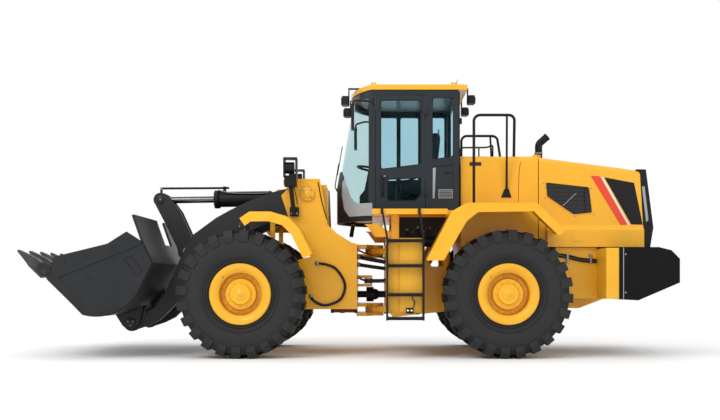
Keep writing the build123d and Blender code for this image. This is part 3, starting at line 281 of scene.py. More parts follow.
# Mesh pieces
class Piece:
    """One joined mesh that rides on a body, gathered shape by shape."""

    def __init__(self, name, body, *looks):
        self.name = name
        self.body = body
        self.looks = looks
        self.mesh = bmesh.new()

    def _dress(self, faces, look, smooth=False):
        """Give faces a look and a shading."""
        index = self.looks.index(look)
        for face in faces:
            face.material_index = index
            face.smooth = smooth

    def loft(self, rings, look, smooth=True, loop=False):
        """Skin over rings of the same count of points, joined end to start where it loops."""
        rows = [[self.mesh.verts.new(point) for point in ring] for ring in rings]
        if loop:
            rows.append(rows[0])
        made = []
        count = len(rows[0])
        for low, high in zip(rows, rows[1:]):
            for i in range(count):
                j = (i + 1) % count
                made.append(self.mesh.faces.new((low[i], low[j], high[j], high[i])))
        self._dress(made, look, smooth)
        if not loop:
            ends = [self.mesh.faces.new(rows[0][::-1]), self.mesh.faces.new(rows[-1])]
            self._dress(ends, look)

    def plate(self, outline, depth, look, edge=0.0):
        """Flat sheet from an outline, pushed out by a depth vector, its far rim narrowed by an edge."""
        middle = sum(outline, Vector()) / len(outline)
        rings = [outline, [point + depth * (0.7 if edge else 1) for point in outline]]
        if edge:
            rings.append([point + depth + (middle - point).normalized() * edge for point in outline])
        self.loft(rings, look, smooth=False)

    def side_plate(self, points, y, out, look, edge=0):
        """Plate with an outline of (x, z) points in millimetres, from a side plane outward."""
        self.plate([at(x, y, z) for x, z in points], Vector((0, out / 1000, 0)), look, edge / 1000)

    def block(self, x_span, y_span, z_span, look, edge=4):
        """Box between spans in millimetres with chamfered edges."""
        low = at(min(x_span), min(y_span), min(z_span))
        high = at(max(x_span), max(y_span), max(z_span))
        made = bmesh.ops.create_cube(self.mesh, size=1)["verts"]
        size = high - low
        middle = (high + low) / 2
        for vert in made:
            vert.co = Vector((vert.co.x * size.x, vert.co.y * size.y, vert.co.z * size.z)) + middle
        faces = {face for vert in made for face in vert.link_faces}
        self._dress(faces, look)
        if edge:
            edges = {line for face in faces for line in face.edges}
            offset = min(edge / 1000, min(size) * 0.3)
            cut = bmesh.ops.bevel(self.mesh, geom=list(edges), offset=offset, segments=2, affect="EDGES",
                                  profile=0.5)
            self._dress(cut["faces"], look)

    def turned(self, origin, axis, profile, look, steps=24, smooth=True):
        """Round form about an axis from (along, radius) pairs in millimetres."""
        turn = axis.normalized().to_track_quat("Z", "Y").to_matrix()
        rings = []
        for along, radius in profile:
            ring = []
            for step in range(steps):
                angle = 2 * math.pi * step / steps
                spot = Vector((radius * math.cos(angle), radius * math.sin(angle), along))
                ring.append(origin + turn @ (spot / 1000))
            rings.append(ring)
        self.loft(rings, look, smooth=smooth)

    def hoop(self, origin, axis, profile, look, steps=48):
        """Ring about an axis from a closed outline of (along, radius) pairs in millimetres."""
        turn = axis.normalized().to_track_quat("Z", "Y").to_matrix()
        rings = []
        for step in range(steps):
            angle = 2 * math.pi * step / steps
            ring = []
            for along, radius in profile:
                spot = Vector((radius * math.cos(angle), radius * math.sin(angle), along))
                ring.append(origin + turn @ (spot / 1000))
            rings.append(ring)
        self.loft(rings, look, loop=True)

    def side_turned(self, spot, y, left, profile, look, steps=24):
        """Round form that stands outward on one side at an (x, z) spot."""
        self.turned(at(spot[0], left * y, spot[1]), side_out * left, profile, look, steps=steps)

    def side_bolts(self, spots, y, left, size, look):
        """Bolts that stand outward on one side at (x, z) spots."""
        for x, z in spots:
            self.bolt(at(x, left * y, z), side_out * left, size, look)

    def seal(self, points, y, radius, look, bend=40):
        """Rubber strip round a window, from the window's (x, z) corners."""
        corners = [at(x, y, z) for x, z in points]
        middle = (corners[0] + corners[-1]) / 2
        self.tube([middle, *corners, middle], radius, look, sides=6, bend=bend)

    def studs(self, x_span, y_span, z, pitch, look):
        """Raised grip studs on a level plate."""
        corners = ((1, 1), (-1, 1), (-1, -1), (1, -1))
        rise = 5
        x = min(x_span)
        row = 0
        while x < max(x_span):
            y = min(y_span) + (pitch / 2 if row % 2 else 0)
            while y < max(y_span):
                long, wide = (15, 6) if row % 2 else (6, 15)
                low = [at(x + long * a, y + wide * b, z) for a, b in corners]
                high = [at(x + 0.5 * long * a, y + 0.5 * wide * b, z + rise) for a, b in corners]
                self.loft([low, high], look, smooth=False)
                y += pitch
            x += pitch
            row += 1

    def lamp_face(self, origin, axis, radius, rim, face):
        """Round lamp: a rim and a domed face."""
        inner = radius * 0.86
        dome = [(0, radius * 0.9), (4, radius * 0.88), (12, radius * 0.6), (15, 1)]
        self.hoop(origin, axis, [(0, inner), (0, radius), (14, radius * 0.97), (14, inner)], rim, steps=28)
        self.turned(origin, axis, dome, face, steps=28)

    def bolt(self, origin, axis, size, look):
        """Washer and hexagon head."""
        washer = size * 0.18
        flats = size * 0.82
        foot = [(0, size), (washer, size), (washer, size * 0.98)]
        head = [(washer, flats), (size * 0.75, flats), (size * 0.85, size * 0.7)]
        self.turned(origin, axis, foot, look, steps=14, smooth=False)
        self.turned(origin, axis, head, look, steps=6, smooth=False)

    def tube(self, points, radius, look, sides=10, bend=None):
        """Round tube through points in metres, with smooth bends."""
        path = smooth_path(points) if bend is None else rounded_path(points, bend)
        rings = []
        normal = None
        for i, point in enumerate(path):
            along = path[min(i + 1, len(path) - 1)] - path[max(i - 1, 0)]
            along.normalize()
            if normal is None:
                normal = along.orthogonal().normalized()
            normal = (normal - along * normal.dot(along)).normalized()
            other = along.cross(normal)
            ring = []
            for side in range(sides):
                angle = 2 * math.pi * side / sides
                ring.append(point + (normal * math.cos(angle) + other * math.sin(angle)) * radius / 1000)
            rings.append(ring)
        self.loft(rings, look)

    def done(self, ride=True):
        """Turn the gathered shapes into an object."""
        bmesh.ops.recalc_face_normals(self.mesh, faces=self.mesh.faces)
        data = bpy.data.meshes.new(self.name)
        self.mesh.to_mesh(data)
        self.mesh.free()
        made = bpy.data.objects.new(self.name, data)
        bpy.context.scene.collection.objects.link(made)
        for look in self.looks:
            data.materials.append(look)
        if ride:
            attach(made, self.body)
        return made


def smooth_path(points, steps=8):
    """Curve that passes through all the points."""
    spots = [points[0] * 2 - points[1], *points, points[-1] * 2 - points[-2]]
    path = []
    for a, b, c, d in zip(spots, spots[1:], spots[2:], spots[3:]):
        for step in range(steps):
            t = step / steps
            path.append(0.5 * (2 * b + (c - a) * t + (2 * a - 5 * b + 4 * c - d) * t ** 2
                               + (3 * b - 3 * c + d - a) * t ** 3))
    path.append(points[-1].copy())
    return path


def rounded_path(points, bend, steps=6):
    """Straight runs with round corners."""
    path = [points[0].copy()]
    for before, corner, after in zip(points, points[1:], points[2:]):
        back = before - corner
        onward = after - corner
        start = corner + back.normalized() * min(bend / 1000, back.length * 0.45)
        end = corner + onward.normalized() * min(bend / 1000, onward.length * 0.45)
        for step in range(steps + 1):
            t = step / steps
            path.append(start * (1 - t) ** 2 + corner * 2 * t * (1 - t) + end * t ** 2)
    path.append(points[-1].copy())
    return path


# Wheels: nuts round the disc, bolts on the hub, a cap, a valve, a dished ring and ribs on the tyre wall
disc_face = wheel_y + 120
hub_step = wheel_y + 185
hub_end = wheel_y + 235
hub_cap = [(0, 75), (6, 75), (8, 70), (8, 30), (16, 26), (16, 1)]
valve = ((205, wheel_y + 222), (208, wheel_y + 240), (214, wheel_y + 262))
dish = [(228, 381), (252, 378), (258, 366), (222, 262), (200, 262), (215, 345)]
wall_ribs = ((412, 240), (470, 268), (600, 281), (655, 275))
rib_foot = 12
rib_top = 6
rib_rise = 8
for end, x in (("front", axle_x), ("rear", -axle_x)):
    for side, left in sides:
        fittings = Piece(f"wheel_fittings_{end}_{side}", f"{end}_{side}_wheel", yellow, steel, rubber)
        hub = (x, axle_z)
        middle = at(x, left * wheel_y, axle_z)
        fittings.side_bolts(round_spots(hub, 225, 16, 0.5), disc_face, left, 17, yellow)
        fittings.side_bolts(round_spots(hub, 162, 12), hub_step, left, 11, yellow)
        fittings.side_turned(hub, hub_end, left, hub_cap, yellow)
        fittings.tube([at(x + reach, left * y, axle_z + reach) for reach, y in valve], 7, steel)
        fittings.hoop(middle, side_out * left, dish, yellow, steps=72)
        for radius, rise in wall_ribs:
            rib = [(rise, radius - rib_foot), (rise + rib_rise, radius - rib_top),
                   (rise + rib_rise, radius + rib_top), (rise, radius + rib_foot)]
            fittings.hoop(middle, side_out * left, rib, rubber, steps=72)
        fittings.done()

# Hood stripes and panel, as plain colours
stripes_at = hood_half + 0.5
stripe_rise = 2
stripe_shapes = (
    (red, [(-2801, 2323), (-2922, 2314), (-3293, 1667), (-3193, 1673)]),
    (white, [(-2937, 2307), (-2965, 2305), (-3315, 1669), (-3293, 1669)]),
    (black, [(-2979, 2301), (-3365, 2230), (-3476, 1688), (-3328, 1690)]))
stripes = Piece("hood_stripes", "hood", red, white, black)
for left in both_sides:
    for look, outline in stripe_shapes:
        stripes.side_plate(outline, left * stripes_at, left * stripe_rise, look)
stripes.done()

# Hood trim: side window frame with its stay, lamp strip, latches and bolts
window = [(-2217, 2241), (-2786, 2178), (-2827, 1838), (-2578, 1813), (-2231, 2052)]
window_middle = -2500
window_bolts = [(x + (-24 if x < window_middle else 24), z - 18) for x, z in window]
lamp_strip = [(-3466, 2180), (-3500, 2186), (-3552, 1740), (-3520, 1722)]
stay_y = hood_half - 2
skirt_y = hood_half + 60
hood_trim = Piece("hood_trim", "hood", yellow, plastic, steel, silver)
for left in both_sides:
    hood_trim.seal(window, left * (hood_half + 1), 7, yellow, bend=30)
    hood_trim.tube(sided([(-2430, stay_y, 1920), (-2620, stay_y, 2100)], left), 7, steel)
    hood_trim.tube(sided([(-2735, stay_y, 1850), (-2725, stay_y, 2170)], left), 5, plastic)
    hood_trim.side_bolts(window_bolts, hood_half, left, 9, steel)
    hood_trim.side_plate(lamp_strip, left * hood_half, left * 6, silver, 4)
    hood_trim.block((-3548, -3575), (left * hood_half, left * (hood_half + 14)), (1690, 1790), plastic)
    hood_trim.block((-2560, -2680), (left * skirt_y, left * (skirt_y + 6)), (1470, 1510), yellow)
    hood_trim.side_bolts([(x, 1430) for x in (-2300, -2900, -3380)], skirt_y, left, 11, yellow)
hood_trim.block((-3535, -3548), (-90, 90), (1620, 1650), plastic)
hood_trim.done()

# Cowl: seam, slot, walkway, top rail and exhaust trim
seam_y = hood_half + 0.5
rail_y = 590
rail_post_x = -1365
walk_top = cowl_top + 8
exhaust_x = -2245
exhaust_tip = at(-2360, 0, 2930)
exhaust_way = Vector((-115, 0, 100)).normalized()
cowl_trim = Piece("cowl_trim", "rear_chassis", black, mesh_black, tread_black, steel)
for left in both_sides:
    cowl_trim.tube(sided([(-1900, seam_y, 2500), (-1878, seam_y, 2390), (-1866, seam_y, 2070),
                          (-1866, seam_y, 1920)], left), 3, mesh_black, sides=6)
    slot_span = (left * (hood_half - 4), left * (hood_half + 3))
    cowl_trim.block((-1233, -1386), slot_span, (2451, 2499), mesh_black, 8)
    cowl_trim.tube(sided([(-1117, rail_y, 2585), (-1117, rail_y, 2700), (-1481, rail_y, 2703),
                          (-1547, rail_y, 2742), (-1547, rail_y, cowl_top)], left), 11, black, bend=40)
    cowl_trim.tube(sided([(rail_post_x, rail_y, cowl_top), (rail_post_x, rail_y, 2700)], left), 10, black)
cowl_trim.block((-1321, -1900), (-560, 560), (cowl_top, walk_top), tread_black)
cowl_trim.studs((-1335, -1890), (-545, 545), walk_top, 48, tread_black)
exhaust_foot = [(0, 54), (0, 96), (6, 96), (18, 62), (18, 54)]
exhaust_clamp = [(-12, 49), (-12, 57), (12, 57), (12, 49)]
exhaust_rim = [(-12, 49), (-12, 54), (3, 54), (3, 45)]
cowl_trim.hoop(at(exhaust_x, 0, cowl_top + 1), upward, exhaust_foot, black, steps=32)
cowl_trim.turned(exhaust_tip, exhaust_way, [(0, 43), (1.5, 43)], mesh_black)
cowl_trim.hoop(exhaust_tip, exhaust_way, exhaust_rim, black, steps=28)
cowl_trim.hoop(at(exhaust_x, 0, 2700), upward, exhaust_clamp, steel, steps=28)
cowl_trim.done()

# Counterweight: a light strip at the front seam that stands for the highlight on its edge (painted
# highlight), bolts, tail lamps and a tow pin with its ring
ballast_half = 1250
lamp_back = 60 - rear_reach
lamp_front = 45 - rear_reach
tow_x = 90 - rear_reach
tow_pin = [(0, 24), (6, 28), (150, 28), (190, 28), (196, 44), (214, 44), (220, 38)]
tow_ring = [(0, 0, 1180), (-30, 30, 1225), (0, 0, 1262), (30, -30, 1225), (0, 0, 1180)]
ballast = Piece("counterweight_trim", "rear_chassis", black, silver, steel, red_lens, amber, reflector)
for left in both_sides:
    # light silver strip down the front seam: a painted highlight where the seam's edge catches light
    ballast.block((-3084, -3094), (left * ballast_half, left * (ballast_half + 3)), (738, 1374), silver, 1)
    ballast.side_bolts([(-3115, 815), (-3115, 1290)], ballast_half, left, 12, steel)
    ballast.block((lamp_back, lamp_front), (left * 712, left * 1038), (992, 1168), black)
    for y, face in ((780, red_lens), (875, amber), (970, reflector)):
        ballast.lamp_face(at(lamp_front, left * y, 1080), -ahead, 42, black, face)
ballast.turned(at(tow_x, 0, 960), upward, tow_pin, steel)
ballast.tube([at(tow_x + x, y, z) for x, y, z in tow_ring], 7, steel)
ballast.done()

# Rear side panels: two lines held by clips, and bolts
line_path = [(-2360, 712, 1310), (-2500, 716, 1290), (-2690, 716, 1246), (-2880, 716, 1232),
             (-3036, 720, 1228)]
panel_bolts = [(-2560, 800), (-2840, 800), (-2840, 1060), (-2840, 1360)]
rear_lines = Piece("rear_lines", "rear_chassis", hose_black, steel, yellow)
for left in both_sides:
    for drop in (0, 32):
        rear_lines.tube(sided([(x, y, z - drop) for x, y, z in line_path], left), 12, hose_black)
    for x in (-2500, -2800):
        clip_span = (left * hood_half, left * (hood_half + 30))
        rear_lines.block((x - 14, x + 14), clip_span, (1190, 1310), steel)
    rear_lines.side_bolts(panel_bolts, hood_half, left, 13, yellow)
rear_lines.done()

# Cab outside: seals, gutter, louvre, trim strip, wiper, rear bracket and aerial
pane_top = cab_top - 100
pane_low = cab_floor + 530
pane_width = 270
quarter = [(-744, cab_floor + 651), (-744, pane_top), (-1019, pane_top), (-1019, cab_floor + 688)]
recess = cab_half - 15
louvre_face = recess + 8
louvre_pitch = 20
louvre_height = 9
strip = [(-752, cab_floor + 545), (-792, cab_floor + 550), (-776, cab_floor + 150), (-750, cab_floor + 150)]
screen_x = 510
corner_y = cab_half - 40
corner_seal = [(-1096, corner_y, cab_floor + 30), (-1096, corner_y, cab_top - 20)]
cab_trim = Piece("cab_fittings", "rear_chassis", hose_black, plastic, silver, black, cab_grey)
for left in both_sides:
    cab_trim.seal(quarter, left * (cab_half - 8), 9, hose_black)
    gutter_span = (left * cab_half, left * (cab_half + 8))
    cab_trim.block((-110, -640), gutter_span, (cab_top - 52, cab_top - 22), cab_grey)
    cab_trim.tube(sided(corner_seal, left), 9, hose_black)
for front in (-60, -370):
    back = front - pane_width
    pane = [(front, pane_low), (front, pane_top), (back, pane_top), (back, pane_low)]
    cab_trim.seal(pane, 8 - cab_half, 9, hose_black)
cab_trim.block((-826, -1010), (recess, louvre_face), (cab_floor + 152, cab_floor + 268), silver)
for number in range(5):
    low = cab_floor + 166 + number * louvre_pitch
    high = low + louvre_height
    cab_trim.side_plate([(-836, low), (-1000, low), (-1000, high), (-836, high)], louvre_face, 6, plastic, 3)
cab_trim.side_plate(strip, recess, 10, silver, 5)
cab_trim.block((-905, -972), (recess, recess + 12), (cab_floor + 474, cab_floor + 490), black)
cab_trim.turned(at(screen_x - 14, 60, 2196), ahead, [(0, 26), (16, 24), (24, 12), (26, 1)], plastic)
wiper_arm = [(6, 60, 2200), (22, 52, 2260), (-22, -10, 2560)]
wiper_blade = [(-4, 10, 2400), (-38, -12, 2600), (-70, -30, 2800)]
cab_trim.tube([at(screen_x + x, y, z) for x, y, z in wiper_arm], 7, plastic)
cab_trim.tube([at(screen_x + x, y, z) for x, y, z in wiper_blade], 6, hose_black)
cab_trim.block((-1090, -1132), (cab_half - 90, cab_half - 40), (2990, 3065), plastic)
cab_trim.tube([at(-1078, 500, 3488), at(-1080, 500, 3540), at(-1092, 500, 3610)], 3.5, black)
cab_trim.done()

# Door: window seals, grab handle on its plate, latch and inner pull
door_top = cab_top - 131
door_pane = [(-80, cab_floor + 526), (-80, door_top), (-600, door_top), (-600, cab_floor + 588)]
low_pane = [(-165, cab_floor + 122), (-165, cab_floor + 400), (-600, cab_floor + 420),
            (-600, cab_floor + 190), (-530, cab_floor + 122)]
handle_plate = [(-84, 2040), (-84, 2325), (-150, 2325), (-150, 2290), (-124, 2240), (-124, 2040)]
handle_x = -104
handle_y = cab_half + 48
pull_y = cab_half - 95
door_trim = Piece("door_fittings", "door", hose_black, plastic, steel)
door_trim.seal(door_pane, cab_half - 6, 9, hose_black)
door_trim.seal(low_pane, cab_half - 6, 9, hose_black)
door_trim.side_plate(handle_plate, cab_half, 14, plastic, 6)
door_trim.tube([at(handle_x, cab_half, 2060), at(handle_x, handle_y, 2080), at(handle_x, handle_y, 2262),
                at(handle_x, cab_half, 2282)], 11, plastic, bend=30)
door_trim.block((-118, -146), (cab_half + 14, cab_half + 26), (2296, 2316), steel)
door_trim.tube([at(-90, cab_half - 50, 2120), at(-90, pull_y, 2160), at(-560, pull_y, 2300),
                at(-560, cab_half - 50, 2330)], 11, plastic, bend=50)
door_trim.done()

# Cab lamps and mirror faces
mirror_in = cab_half + 86
mirror_out = cab_half + 234
mirror_low = cab_top - 520
mirror_high = cab_top - 240
mirror = [(255, mirror_in, mirror_low), (255, mirror_out, mirror_low), (255, mirror_out, mirror_high),
          (255, mirror_in, mirror_high)]
cab_lamps = Piece("cab_lamps", "rear_chassis", plastic, reflector, mirror_glass)
for left in both_sides:
    cab_lamps.lamp_face(at(425, left * 450, cab_top - 90), ahead, 54, plastic, reflector)
    cab_lamps.lamp_face(at(-1318, left * 450, cab_top - 75), -ahead, 50, plastic, reflector)
    cab_lamps.plate(sided(mirror, left), Vector((-0.004, 0, 0)), mirror_glass, 0.003)
cab_lamps.done()

# Head lamps: faces, amber markers, bracket bolts and leads
lamp_y = 680
lamp_bracket_out = 660
road_lamps = Piece("road_lamps", "front_chassis", plastic, reflector, amber, steel)
for left in both_sides:
    road_lamps.lamp_face(at(1150, left * lamp_y, 2425), ahead, 76, plastic, reflector)
    road_lamps.block((1164, 1176), (left * (lamp_y - 60), left * (lamp_y + 60)), (2205, 2270), amber)
    road_lamps.side_bolts([(1010, 1835), (1074, 1835)], lamp_bracket_out, left, 14, steel)
    lead = [(1050, lamp_y + 10, 2190), (1020, lamp_y + 20, 2080), (1000, 650, 1960)]
    road_lamps.tube(sided(lead, left), 6, plastic)
road_lamps.done()

# Ladders and tanks: toothed treads, work lamps with their lead, bolts and a drain plug
tread_heights = (510, 802, 1160, 1470)
tooth_count = 22
tooth_rise = 12
pitch = (tank_front - tank_rear) / tooth_count
lamp_box_out = tank_out + 34
lamp_lead = [(-478, tank_out + 14, 622), (-500, tank_out + 20, 690), (-470, tank_out + 22, 740),
             (-490, tank_out + 2, 800)]
tank_bolts = [(x, z) for x in (tank_front - 40, tank_rear + 40) for z in (620, 1420)]
drain_plug = [(0, 34), (8, 34), (10, 20), (26, 18), (28, 1)]
ladder_trim = Piece("ladder_trim", "rear_chassis", black, tread_black, reflector, hose_black, steel, yellow)
for left in both_sides:
    for z in tread_heights:
        teeth = [(tank_rear, z)]
        for number in range(tooth_count):
            teeth.append((tank_rear + (number + 0.5) * pitch, z + tooth_rise))
            teeth.append((tank_rear + (number + 1) * pitch, z))
        for y in (1270, 1348):
            ladder_trim.side_plate(teeth, left * y, left * 8, tread_black)
    ladder_trim.block((-392, -482), (left * tank_out, left * lamp_box_out), (556, 624), black)
    for x in (-414, -460):
        ladder_trim.lamp_face(at(x, left * lamp_box_out, 590), side_out * left, 22, black, reflector)
    ladder_trim.tube(sided(lamp_lead, left), 6, hose_black)
    ladder_trim.side_bolts(tank_bolts, tank_out, left, 12, yellow)
    ladder_trim.turned(at(-540, left * 1050, 560), -upward, drain_plug, steel, steps=12)
ladder_trim.done()

# Under the cab: black panels put where the engine bay lies in shade (painted shade), with fittings and hoses,
# bracket plate, grip plates on the deck, drain tube
shade_panel_y = 690
fittings_at = ((-420, 1620, 22), (-500, 1590, 17), (-560, 1650, 24), (-640, 1600, 18), (-720, 1640, 20))
bracket_y = 902
bracket = [(130, 1682), (-64, 1682), (-147, 1606), (-222, 1590), (-222, 1517), (-20, 1517), (75, 1643)]
bracket_lip = [(75, bracket_y, 1643), (-20, bracket_y, 1517), (-20, 960, 1517), (75, 960, 1643)]
grip_top = deck_top + 3
drain_x = 289
under_cab = Piece("under_cab", "rear_chassis", black, hose_black, yellow, steel, tread_black)
for left in both_sides:
    # black panel that stands in for the shade of the engine bay between deck and tank: painted shade
    under_cab.block((-330, -960), (left * shade_panel_y, left * (shade_panel_y - 20)), (1450, 1783), black)
    for x, z, size in fittings_at:
        fitting = [(0, size), (22, size), (26, size * 0.7), (44, size * 0.66), (46, 1)]
        under_cab.side_turned((x, z), shade_panel_y, left, fitting, steel, steps=12)
    for x, z in ((-430, 1540), (-560, 1560), (-690, 1545)):
        bent = [(x, 700, z + 60), (x - 30, 730, z), (x - 120, 720, z - 40), (x - 200, 680, z - 60)]
        under_cab.tube(sided(bent, left), 13, hose_black)
    under_cab.side_plate(bracket, left * bracket_y, left * 14, yellow, 5)
    under_cab.plate(sided(bracket_lip, left), Vector((0.006, 0, -0.006)), yellow)
    under_cab.block((10, -900), (left * 800, left * 1165), (deck_top, grip_top), tread_black)
    under_cab.studs((0, -890), (left * 815, left * 1150), grip_top, 52, tread_black)
under_cab.tube([at(279, 0, 1786), at(296, 0, 1690), at(318, 0, 1560)], 28, hose_black, sides=16)
under_cab.hoop(at(drain_x, 0, 1722), upward, [(-10, 26), (-10, 33), (10, 33), (10, 26)], steel, steps=24)
under_cab.done()


# Hoses across the centre hinge, baked in place and riding on no body
def hinge_hose(name, points, radius):
    """Hose from the rear frame to the front frame with a fitting at each end."""
    hose = Piece(name, None, hose_black, steel)
    path = [at(*point) for point in points]
    hose.tube(path, radius, hose_black, sides=12)
    ferrule = radius * 1.3
    sleeve = radius * 1.12
    fitting = [(-8, ferrule), (26, ferrule), (30, sleeve), (52, sleeve)]
    for end, inner in ((path[0], path[1]), (path[-1], path[-2])):
        hose.turned(end, inner - end, fitting, steel, steps=12)
    made = hose.done(ride=False)
    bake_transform(made)


hinge_rear = -235
hinge_front = 232
hinge_runs = (
    ("hinge_hose_upper", 21, [(hinge_rear, 340, 1200), (-120, 350, 1222), (80, 350, 1258),
                              (hinge_front, 330, 1290)]),
    ("hinge_hose_lower", 21, [(hinge_rear, 300, 1118), (-120, 310, 1132), (80, 310, 1160),
                              (hinge_front, 290, 1184)]),
    ("hinge_hose_sagging", 13, [(hinge_rear, 380, 1030), (-120, 390, 975), (20, 395, 955), (140, 385, 970),
                                (hinge_front, 370, 1010)]),
    ("hinge_cable", 6, [(hinge_rear, 260, 1255), (-60, 262, 1285), (80, 262, 1318),
                        (hinge_front, 255, 1385)]))
for side, left in sides:
    for run, radius, points in hinge_runs:
        hinge_hose(f"{run}_{side}", [(x, left * y, z) for x, y, z in points], radius)

# Front frame: looped hose, boom pin caps, bolts, tower lines and lock bar ends
loop_start = (747, 1190)
loop_end = (830, 760)
loop = [(747, 588, 1190), (620, 606, 1172), (490, 612, 1105), (385, 612, 911), (447, 612, 717),
        (646, 612, 641), (790, 606, 700), (830, 588, 760)]
loop_port = [(0, 30), (14, 30), (20, 24), (26, 1)]
boom_cap = [(0, 92), (10, 92), (14, 84), (14, 50), (20, 46), (20, 1)]
boom_cap_face = boom_pin_out + 14
frame_bolts = [(300, 1380), (300, 700), (520, 700), (1050, 1180), (1500, 1060), (1820, 1040)]
tower_line = [(620, 587, 1760), (690, 590, 2010), (735, 590, 2250)]
front_trim = Piece("front_frame_trim", "front_chassis", hose_black, steel, yellow, black, lock_red)
for left in both_sides:
    front_trim.tube(sided(loop, left), 17, hose_black, sides=12)
    for spot in (loop_start, loop_end):
        front_trim.side_turned(spot, frame_out, left, loop_port, steel, steps=12)
    front_trim.side_turned(boom_pivot, boom_pin_out, left, boom_cap, yellow, steps=36)
    front_trim.side_bolts(round_spots(boom_pivot, 70, 4, 0.5), boom_cap_face, left, 12, steel)
    front_trim.side_bolts(frame_bolts, frame_out, left, 14, yellow)
    front_trim.tube(sided(tower_line, left), 7, hose_black)
for x in (235, 545):
    front_trim.block((x - 12, x + 32), (388, 452), (535, 592), black)
front_trim.turned(at(390, 420, 565), ahead, [(0, 27), (8, 32), (60, 32), (68, 27)], lock_red)
front_trim.done()

# Boom: collars at its pivot and caps on the lift cylinder pins
lift_cap = [(0, 74), (10, 74), (14, 66), (14, 1)]
boom_trim = Piece("boom_trim", "boom", grey, steel)
for left in both_sides:
    pivot = at(boom_pivot[0], left * boom_out, boom_pivot[1])
    boom_trim.hoop(pivot, side_out * left, [(0, 70), (0, 128), (5, 128), (5, 70)], grey)
    boom_trim.side_turned(lift_eye, boom_out, left, lift_cap, grey, steps=32)
    boom_trim.side_bolts(round_spots(lift_eye, 46, 3), boom_out + 14, left, 10, steel)
boom_trim.done()

# Caps on the bucket pins and on the bellcrank's pins
pin_cap = [(0, 62), (10, 62), (14, 54), (14, 1)]
pin_caps = Piece("bucket_pin_caps", "bucket_pins", steel, grey)
for left in both_sides:
    pin_caps.side_turned(bucket_hinge, bucket_pin_out, left, pin_cap, grey, steps=32)
    pin_caps.side_bolts(round_spots(bucket_hinge, 38, 3, 0.25), bucket_pin_out + 14, left, 9, steel)
pin_caps.done()

crank_out = 105
crank_cap = [(0, 56), (8, 56), (12, 50), (12, 1)]
crank_trim = Piece("bellcrank_trim", "bellcrank", grey, steel)
for left in both_sides:
    for spot in (crank_top, crank_low):
        crank_trim.side_turned(spot, crank_out, left, crank_cap, grey, steps=28)
        crank_trim.side_bolts([spot], crank_out + 12, left, 12, steel)
crank_trim.done()

# Tilt cylinder: gland with bolts, pipe and a guide for the bucket position rod
tilt_way = Vector((crank_top[0] - tilt_base[0], 0, crank_top[1] - tilt_base[1])).normalized()
tilt_length = 0.87
gland = at(tilt_base[0], 0, tilt_base[1]) + tilt_way * tilt_length
gland_length = 0.07
gland_ring = [(0, 104), (0, 124), (62, 124), (70, 116), (70, 104)]
gland_bolts = 0.112
guide_x = 2028
tilt_pipe = [(2120, 60, 2190), (2080, 84, 2180), (1900, 96, 2150), (1500, 96, 2148), (1420, 60, 2182)]
barrel_trim = Piece("tilt_barrel_trim", "tilt_barrel", black, steel, chrome)
barrel_trim.hoop(gland - tilt_way * gland_length, tilt_way, gland_ring, black)
for y, z in round_spots((0, 0), gland_bolts, 8):
    barrel_trim.bolt(gland + Vector((0, y, z)), tilt_way, 9, steel)
barrel_trim.tube(sided(tilt_pipe, 1), 12, chrome)
barrel_trim.block((guide_x, guide_x + 38), (-24, 24), (2180, 2214), black)
barrel_trim.hoop(at(guide_x, 0, 2228), ahead, [(0, 14), (0, 24), (38, 24), (38, 14)], black, steps=20)
barrel_trim.done()

position_rod = Piece("position_rod", "tilt_rod", black, steel)
position_rod.tube([at(1986, 0, 2230), at(2400, 0, 2227), at(2912, 0, 2224)], 15, black)
position_rod.block((2896, 2926), (-14, 14), (2140, 2240), black)
position_rod.turned(at(2911, -20, 2224), side_out, [(0, 18), (40, 18)], steel, steps=16)
position_rod.done()

# Lift cylinders: glands and pipes
lift_way = Vector((lift_eye[0] - lift_base[0], 0, lift_eye[1] - lift_base[1])).normalized()
lift_length = 1.18
lift_gland = [(0, 84), (0, 97), (64, 97), (70, 92), (70, 84)]
pipe_start = 0.2
pipe_middle = 0.4
pipe_end = 0.86
pipe_side = 0.03
pipe_rise = 0.092
lift_trim = Piece("lift_barrel_trim", "lift_barrels", black, steel)
for left in both_sides:
    base = at(lift_base[0], left * lift_y, lift_base[1])
    tip = base + lift_way * lift_length
    lift_trim.hoop(tip - lift_way * gland_length, lift_way, lift_gland, black)
    offset = Vector((0, left * pipe_side, 0)) + Vector((-lift_way.z, 0, lift_way.x)) * pipe_rise
    start = base + lift_way * pipe_start + offset
    lift_trim.tube([start, start + lift_way * pipe_middle, start + lift_way * pipe_end], 10, steel)
lift_trim.done()

# Bucket: side wear plate, blank frame, corner boss, side bolts and a pair of bolts at each tooth
bucket_out = 1520
wear_plate = [(3850, 915), (3500, 1040), (3120, 640), (3220, 592), (3380, 566), (3530, 580)]
blank = [(3046, 1236), (2957, 1273), (2826, 1077), (2892, 1029)]
boss = [(0, 86), (30, 86), (38, 78), (38, 40), (30, 36), (30, 1)]
floor_angle = math.radians(44.5)
floor_way = Vector((math.cos(floor_angle), 0, math.sin(floor_angle)))
floor_up = Vector((-floor_way.z, 0, floor_way.x))
teeth_along = 8
teeth_reach = 1413
edge_tip = (3941, 945)
bolt_back = 0.2
bolt_rise = 0.094
bolt_pair = 34
bucket_trim = Piece("bucket_trim", "bucket", bucket_black, worn_steel)
for left in both_sides:
    bucket_trim.side_plate(wear_plate, left * (bucket_out - 12), left * 7, bucket_black, 8)
    bucket_trim.seal(blank, left * (bucket_out - 10), 9, bucket_black, bend=20)
    bucket_trim.side_turned((4010, 1108), bucket_out - 42, left, boss, bucket_black, steps=36)
    bucket_trim.side_bolts([(3190, 1360), (3500, 1255), (3760, 1190)], bucket_out, left, 15, bucket_black)
